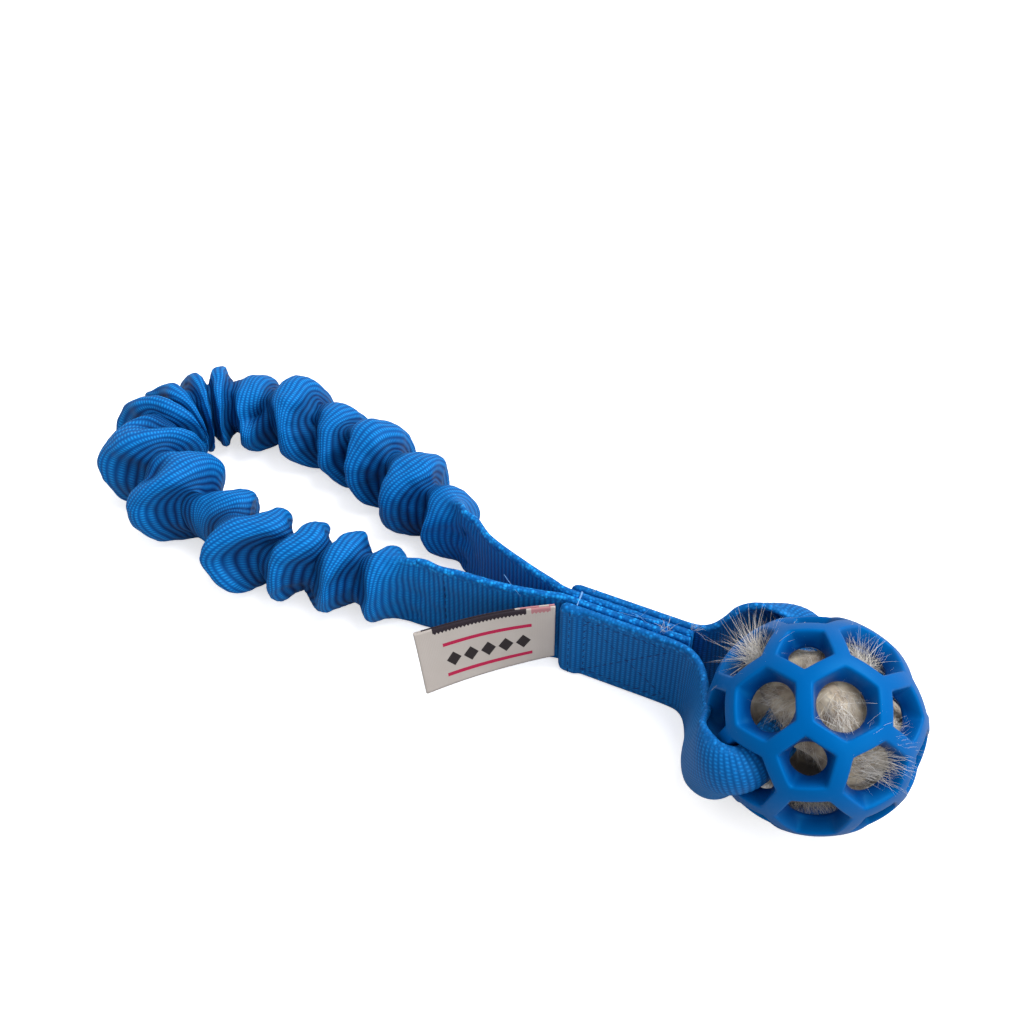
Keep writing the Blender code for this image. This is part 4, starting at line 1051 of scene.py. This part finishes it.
strand_cover = strand_cover_group()
fur_strand = strand("fur_strand", HAIR_LENGTH, HAIR_THICKNESS, HAIR_BEND, HAIR_SEGMENTS)
pelt_hide = fur_material("pelt_hide", (0.26, 0.20, 0.15), (0.52, 0.44, 0.33), (0.76, 0.68, 0.54), 5 * MM)
pelt_hair = fur_material("pelt_hair", (0.48, 0.43, 0.37), (0.80, 0.75, 0.67), (0.95, 0.93, 0.89), 6 * MM)
for node, side in (("upper", 1), ("lower", -1)):
    body = pelt("pelt_" + node, side)
    hair = made_by("pelt_hair_" + node, body.data, strand_cover, Strand=fur_strand, Seed=7,
                   Density=HAIRS_PER_SQUARE_METRE, Lift=0.55, Spread=0.50, Material=pelt_hair)
    body.data.materials.append(pelt_hide)
    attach(body, "ball")
    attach(hair, "ball")
    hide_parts("fur_strip_" + node)


# The stitching: a box with a cross through the neck's plies, the hem's seam, and the seams that hold the
# elastic in the tails. The thread is the webbing's own blue and sinks between the ribs.
STITCH_LENGTH = 2.1 * MM
STITCH_THICKNESS = 0.42 * MM
STITCH_PITCH = 2.5 * MM
BOX_INSET = 3.0 * MM
SEAM_SUNK = 0.10 * MM
HEM_SEAM_INSET = 3.6 * MM
SEAM_END_INSET = 1.6 * MM
ANCHOR_PLACE = gather_start - 8 * MM
front_face = FRONT_PLY - PLY_THICKNESS / 2 + SEAM_SUNK
back_face = BACK_PLY + PLY_THICKNESS / 2 - SEAM_SUNK
box_left, box_right = HEM_LENGTH + BOX_INSET - NECK_END, NECK_END - BOX_INSET


def stitch_row_group():
    """Stitches along the edges of a mesh, one every pitch, each turned along its edge."""
    group, given, put = new_group("stitch_row", "GeometryNodeTree", (
        ("Geometry", "Geometry"), ("Stitch", "Object"), ("Pitch", "Float", STITCH_PITCH),
        ("Material", "Material"),
    ), [("Geometry", "Geometry")])
    path = step(group, "GeometryNodeMeshToCurve", [given["Geometry"]]).outputs["Curve"]
    spots = step(group, "GeometryNodeCurveToPoints", {"Curve": path, "Length": given["Pitch"]}, mode="LENGTH")
    turned = step(group, "FunctionNodeAlignRotationToVector", {"Vector": spots.outputs["Tangent"]}, axis="Z")
    return planted(group, given, put, "Stitch", Points=spots.outputs["Points"],
                   Rotation=turned.outputs["Rotation"])


def stitch_body():
    """One stitch, a plump little length of thread along Z."""
    shape = bmesh.new()
    bmesh.ops.create_uvsphere(shape, u_segments=8, v_segments=6, radius=0.5)
    bmesh.ops.scale(shape, vec=(STITCH_THICKNESS, STITCH_THICKNESS, STITCH_LENGTH), verts=shape.verts)
    return bpy.data.objects.new("stitch", mesh_of("stitch", shape))


def box_paths(y):
    low, high = BOX_INSET, WEBBING_WIDTH - BOX_INSET
    corners = [(box_left, y, low), (box_right, y, low), (box_right, y, high), (box_left, y, high)]
    return [corners + corners[:1], [corners[0], corners[2]], [corners[1], corners[3]]]


def upright_path(x, y):
    return [[(x, y, SEAM_END_INSET), (x, y, WEBBING_WIDTH - SEAM_END_INSET)]]


def tail_path(place):
    spot, heading = at(handle_line, handle_run, place), at(headings(handle_line), handle_run, place)
    out = np.array((-heading[1], heading[0], 0)) * TAIL_HALF_THICKNESS
    return upright_path(*(spot + out)[:2])


thread, tree, shader = new_material("seam_thread_blue")
twist = clouds(tree, object_place(tree), 2500.0)
fill(tree, shader, {
    "Base Color": mixed(tree, twist, (0.001, 0.034, 0.140), (0.002, 0.060, 0.230)), "Roughness": 0.6,
    "Specular IOR Level": 0.2,
})

stitch_row = stitch_row_group()
stitch = stitch_body()
hem_face = FRONT_PLY - PLY_THICKNESS / 2 - HEM_EXTRA + SEAM_SUNK
for node, paths in (
    ("box_stitch_front", box_paths(front_face)), ("box_stitch_back", box_paths(back_face)),
    ("hem_stitch", upright_path(HEM_SEAM_INSET - NECK_END, hem_face)),
    ("anchor_stitch_front", tail_path(ANCHOR_PLACE)),
    ("anchor_stitch_back", tail_path(handle_length - ANCHOR_PLACE)),
):
    points = [point for path in paths for point in path]
    edges, first = [], 0
    for path in paths:
        edges += [(first + i, first + i + 1) for i in range(len(path) - 1)]
        first += len(path)
    line = bpy.data.meshes.new(node + "_line")
    line.from_pydata(points, edges, [])
    seam = made_by("sewn_" + node, line, stitch_row, Stitch=stitch, Pitch=STITCH_PITCH, Material=thread)
    if node.startswith("anchor"):
        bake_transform(seam)
    else:
        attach(seam, "neck")
    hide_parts(node)


# The label: a woven tape folded in two, both its ends caught in the hem. It stands out from the neck and
# leans back a little towards its fold. A row of diamonds between two lines is woven into the front.
LABEL_VISIBLE = 34.4 * MM
LABEL_WIDTH = 19.0 * MM
LABEL_PLY = 0.30 * MM
LABEL_FOLD_RADIUS = 0.34 * MM
LABEL_ROOT = Vector((-17.6 * MM, -3.8 * MM, 5.2 * MM))
LABEL_LEAVES_AT = math.radians(222)
LABEL_DROP = 3.9 * MM
LABEL_SAG = -0.8 * MM
LABEL_BOW = -0.5 * MM
LABEL_ROOT_LEAN = math.radians(1)
LABEL_FOLD_LEAN = math.radians(16.5)
LABEL_ROWS = 70
LABEL_FOLD_ROWS = 9
LABEL_RIPPLE = 0.25 * MM
LABEL_SKEW = 1.4 * MM
LABEL_OUTLINE_POINTS = 30
LABEL_EDGE_POINTS = 4
label_along = Vector((math.cos(LABEL_LEAVES_AT), math.sin(LABEL_LEAVES_AT), 0))
label_side = Vector((-label_along.y, label_along.x, 0))


def label_row(share, turn, outline):
    """The tape's section at a share of its visible length, and turned so far round its fold."""
    lean = LABEL_ROOT_LEAN + (LABEL_FOLD_LEAN - LABEL_ROOT_LEAN) * share
    up = Vector((0, 0, math.cos(lean))) + label_side * math.sin(-lean)
    out = label_side * math.cos(lean) + Vector((0, 0, math.sin(lean)))
    foot = LABEL_ROOT + label_along * (LABEL_VISIBLE - LABEL_FOLD_RADIUS) * share
    foot.z -= LABEL_DROP * share + LABEL_SAG * math.sin(math.pi * share)
    foot += label_side * LABEL_BOW * math.sin(math.pi * share)
    spoke = np.array(label_along * math.sin(turn) + out * math.cos(turn))
    height = (outline[:, 0] + 1) / 2 * LABEL_WIDTH
    ripple = LABEL_RIPPLE * np.sin(height / LABEL_WIDTH * 4.0 + share * 5.0) * share
    thick = outline[:, 1] * LABEL_PLY / 2 + LABEL_FOLD_RADIUS
    rows = np.array(foot) + np.outer(height, np.array(up)) + np.outer(thick, spoke)
    rows += np.outer(height / LABEL_WIDTH * LABEL_SKEW * share, np.array(label_along))
    return rows + np.outer(ripple, np.array(out))


label_outline = band_outline(LABEL_OUTLINE_POINTS, LABEL_EDGE_POINTS)
label_turns = [(share, 0.0) for share in np.linspace(0, 1, LABEL_ROWS)]
label_turns += [(1.0, math.pi * i / LABEL_FOLD_ROWS) for i in range(1, LABEL_FOLD_ROWS)]
label_turns += [(share, math.pi) for share in np.linspace(1, 0, LABEL_ROWS)]
label_grid = np.array([label_row(share, turn, label_outline) for share, turn in label_turns])
label_run = distances(label_grid.mean(axis=1))
label_girth = np.concatenate([(label_outline[:, 0] + 1) / 2 * LABEL_WIDTH, [0.0]])
label = skin("folded_label", label_grid, label_run, label_girth)

MOTIF_START = 6.0 * MM
MOTIF_END = 29.0 * MM
DIAMOND_PITCH = 4.6 * MM
DIAMOND_HALF_HEIGHT = 2.3 * MM
DIAMOND_LEVEL = 8.0 * MM
DIAMOND_SLOPE = 2.3
LINE_LEVELS = (13.2 * MM, 3.4 * MM)
LINE_HALF_WIDTH = 0.55 * MM
SELVAGE_DEPTH = 1.3 * MM
SELVAGE_START = 7.2 * MM
SELVAGE_END = 31.0 * MM
PINK_INSET = 1.2 * MM
SERRATION = 0.95 * MM
TOOTH_SHARE = 1.3
WEFT_PITCH = 0.42 * MM
LABEL_CREAMS = ((0.46, 0.41, 0.375), (0.55, 0.505, 0.475))
LABEL_RED = (0.46, 0.012, 0.070)
LABEL_BLACK = (0.022, 0.016, 0.018)
LABEL_PINK = (0.46, 0.20, 0.22)
LABEL_DARK = (0.020, 0.012, 0.020)
tape, tree, shader = new_material("label_satin")
cloth = step(tree, "ShaderNodeSeparateXYZ", [cloth_place(tree)])
along = sums(tree, "PINGPONG", cloth.outputs["X"], LABEL_VISIBLE)
level = cloth.outputs["Y"]


def off(value, middle):
    """How far a value is from the middle."""
    return sums(tree, "ABSOLUTE", sums(tree, "SUBTRACT", value, middle))


def within(value, middle, half):
    """1 where a value is within half of the middle."""
    return sums(tree, "LESS_THAN", off(value, middle), half)


def off_half(value, pitch):
    """How far a value is from the middle of its pitch, as a share of the pitch."""
    return off(sums(tree, "FRACT", sums(tree, "DIVIDE", value, pitch)), 0.5)


def threads_along(value):
    return sums(tree, "ABSOLUTE", sums(tree, "SINE", sums(tree, "MULTIPLY", value, math.pi / WEFT_PITCH)))


motif_area = within(along, (MOTIF_START + MOTIF_END) / 2, (MOTIF_END - MOTIF_START) / 2)
saw = off_half(sums(tree, "SUBTRACT", along, MOTIF_START), DIAMOND_PITCH)
tall = sums(tree, "DIVIDE", off(level, DIAMOND_LEVEL), DIAMOND_HALF_HEIGHT)
diamonds = sums(tree, "LESS_THAN", sums(tree, "ADD", sums(tree, "MULTIPLY", saw, DIAMOND_SLOPE), tall), 1.0)
lines = sums(tree, "ADD", *(within(level, place, LINE_HALF_WIDTH) for place in LINE_LEVELS))
depth = sums(tree, "MULTIPLY_ADD", off_half(along, SERRATION), SERRATION * TOOTH_SHARE, SELVAGE_DEPTH)
edge = sums(tree, "GREATER_THAN", level, sums(tree, "SUBTRACT", LABEL_WIDTH, depth))
dark_part = within(along, (SELVAGE_START + SELVAGE_END) / 2, (SELVAGE_END - SELVAGE_START) / 2)
pink_part = within(along, SELVAGE_START / 2, SELVAGE_START / 2 - PINK_INSET)
colour = mixed(tree, clouds(tree, object_place(tree), 120.0), *LABEL_CREAMS)
for share, where, paint in (
    (lines, motif_area, LABEL_RED), (diamonds, motif_area, LABEL_BLACK), (edge, pink_part, LABEL_PINK),
    (edge, dark_part, LABEL_DARK),
):
    colour = mixed(tree, sums(tree, "MULTIPLY", share, where), colour, paint)
weave = sums(tree, "MULTIPLY", threads_along(level), threads_along(along))
fill(tree, shader, {
    "Base Color": colour, "Roughness": 0.55, "Specular IOR Level": 0.3,
    "Normal": bumped(tree, weave, 0.05 * MM, 0.5),
})
label.data.materials.append(tape)
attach(label, "label")
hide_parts("label")


# Loose fluff and threads on the neck: lint and hair caught in the webbing's upper edges where the plies meet,
# and a few stray ends of thread. Nothing fixes them but the weave.
FLUFF_STRAND_LENGTH = 4.0 * MM
FLUFF_THICKNESS = 0.16 * MM
FLUFF_BEND = 1.5 * MM
FLUFF_PER_SQUARE_METRE = 5.0e6
THREAD_SEGMENTS = 8
# Each tuft of fluff: where it grows, how wide it is, both in mm, and the way it stands
FLUFF_SPOTS = (
    ((10.1, 0.2, 24.6), 2.2, (-0.2, 0.3, 0.4)), ((16.6, 3.6, 24.6), 1.8, (0.6, 0.3, 0.8)),
)
fluff_points, fluff_faces, fluff_lay = [], [], []
for (x, y, z), wide, way in FLUFF_SPOTS:
    first = len(fluff_points)
    for aside, ahead in ((-1, -1), (1, -1), (1, 1), (-1, 1)):
        fluff_points.append(((x + aside * wide / 2) * MM, (y + ahead * wide / 2) * MM, z * MM))
        fluff_lay += way
    fluff_faces.append((first, first + 1, first + 2, first + 3))
fluff_bed = bpy.data.meshes.new("fluff_bed")
fluff_bed.from_pydata(fluff_points, [], fluff_faces)
for mark, values in (("lay", fluff_lay), ("longer", [USUAL_HAIR] * len(fluff_points)),
                     ("cover", [1.0] * len(fluff_points))):
    keep_on(fluff_bed, mark, values)
fluff_strand = strand("fluff_strand", FLUFF_STRAND_LENGTH, FLUFF_THICKNESS, FLUFF_BEND, HAIR_SEGMENTS)
lint, tree, shader = new_material("grey_lint")
fill(tree, shader, {"Base Color": (0.55, 0.62, 0.70, 1), "Roughness": 0.8})
fluff = made_by("neck_fluff", fluff_bed, strand_cover, Strand=fluff_strand, Seed=3,
                Density=FLUFF_PER_SQUARE_METRE, Lift=0.2, Spread=0.9, Material=lint)
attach(fluff, "neck")

# Each loose thread: its two ends, its bow and its thickness, all in mm
LOOSE_THREADS = (
    ((-13.0, 2.6, 25.3), (-12.4, -3.9, 23.7), 0.9, 0.80),
    ((-33.7, -0.2, 25.0), (-26.6, -5.2, 23.8), 1.2, 0.30),
    ((3.2, 1.4, 25.0), (5.4, 3.6, 27.2), 0.6, 0.16), ((3.2, 1.4, 25.0), (1.2, 0.2, 27.4), -0.6, 0.16),
    ((3.2, 1.4, 25.0), (7.6, -1.6, 25.8), 0.8, 0.16), ((-10.6, 4.2, 24.8), (-8.6, 6.0, 26.6), 0.7, 0.30),
    ((-10.6, 4.2, 24.8), (-11.4, 5.4, 27.0), -0.5, 0.22), ((-2.0, 0.6, 25.0), (9.4, 1.2, 25.4), 1.0, 0.16),
)
threads = bmesh.new()
for start, end, bow, thick in LOOSE_THREADS:
    start, span = Vector(start) * MM, (Vector(end) - Vector(start)) * MM
    loose_mesh = strand("loose_thread", span.length, thick * MM, bow * MM, THREAD_SEGMENTS).data
    loose_mesh.transform(Matrix.Translation(start) @ span.to_track_quat("Z", "X").to_matrix().to_4x4())
    threads.from_mesh(loose_mesh)
loose_threads = in_scene("neck_loose_threads", mesh_of("neck_loose_threads", threads))
fibre, tree, shader = new_material("loose_thread_blue")
fill(tree, shader, {"Base Color": (0.16, 0.40, 0.80, 1), "Roughness": 0.8})
loose_threads.data.materials.append(fibre)
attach(loose_threads, "neck")


# The room: a white floor, broad soft lamps above, and the camera where the photograph was taken from. The
# floor is lifted to plain white for the camera only, and not under the ball, whose windows show it shaded.
CAMERA_PLACE = (0.0671, -0.2068, 0.2694)
CAMERA_TURN = (math.radians(46), 0, math.radians(25.5))
CAMERA_LENS = 45.7
FLOOR_SIZE = 6.0
FLOOR_LIFT = 0.60
WORLD_STRENGTH = 0.58
SHADE_RADIUS = 15 * MM
SHADE_FADE = 8 * MM
SHADE_OFFSET = Vector((-3.4 * MM, 7.2 * MM, 0))
floor_shape = bmesh.new()
bmesh.ops.create_grid(floor_shape, x_segments=1, y_segments=1, size=FLOOR_SIZE / 2)
floor = in_scene("floor", mesh_of("floor", floor_shape))
paper, tree, shader = new_material("white_paper")
shaded = Vector((BALL_CENTRE.x, BALL_CENTRE.y, 0)) + SHADE_OFFSET
away = step(tree, "ShaderNodeVectorMath", [object_place(tree), shaded], operation="DISTANCE").outputs["Value"]
lit = ranged(tree, away, SHADE_RADIUS - SHADE_FADE, SHADE_RADIUS)
seen = sums(tree, "MULTIPLY", step(tree, "ShaderNodeLightPath").outputs["Is Camera Ray"], lit)
fill(tree, shader, {
    "Base Color": mixed(tree, seen, (0.38, 0.38, 0.38), (0.95, 0.95, 0.95)), "Roughness": 0.9,
    "Specular IOR Level": 0.0, "Emission Color": (1, 1, 1, 1),
    "Emission Strength": sums(tree, "MULTIPLY", seen, FLOOR_LIFT),
})
floor.data.materials.append(paper)

world = bpy.data.worlds.new("studio")
world.use_nodes = True
sky = {"Color": (1, 1, 1, 1), "Strength": WORLD_STRENGTH}
fill(world.node_tree, world.node_tree.nodes["Background"], sky)
bpy.context.scene.world = world


def lamp(name, place, size, watts):
    light = bpy.data.lights.new(name, "AREA")
    light.size = size
    light.energy = watts
    obj = in_scene(name, light)
    obj.location = place
    obj.rotation_euler = (-Vector(place)).to_track_quat("-Z", "Y").to_euler()


lamp("sky_panel", (0.42, 0.36, 1.10), 0.9, 15.0)
lamp("window_panel", (0.85, -0.45, 0.55), 0.7, 4.5)

camera = in_scene("camera", bpy.data.cameras.new("camera"))
camera.data.lens = CAMERA_LENS
camera.data.clip_start = 0.01
camera.location = CAMERA_PLACE
camera.rotation_euler = CAMERA_TURN
bpy.context.scene.camera = camera
bpy.context.scene.view_settings.view_transform = "Standard"

bpy.context.view_layer.update()
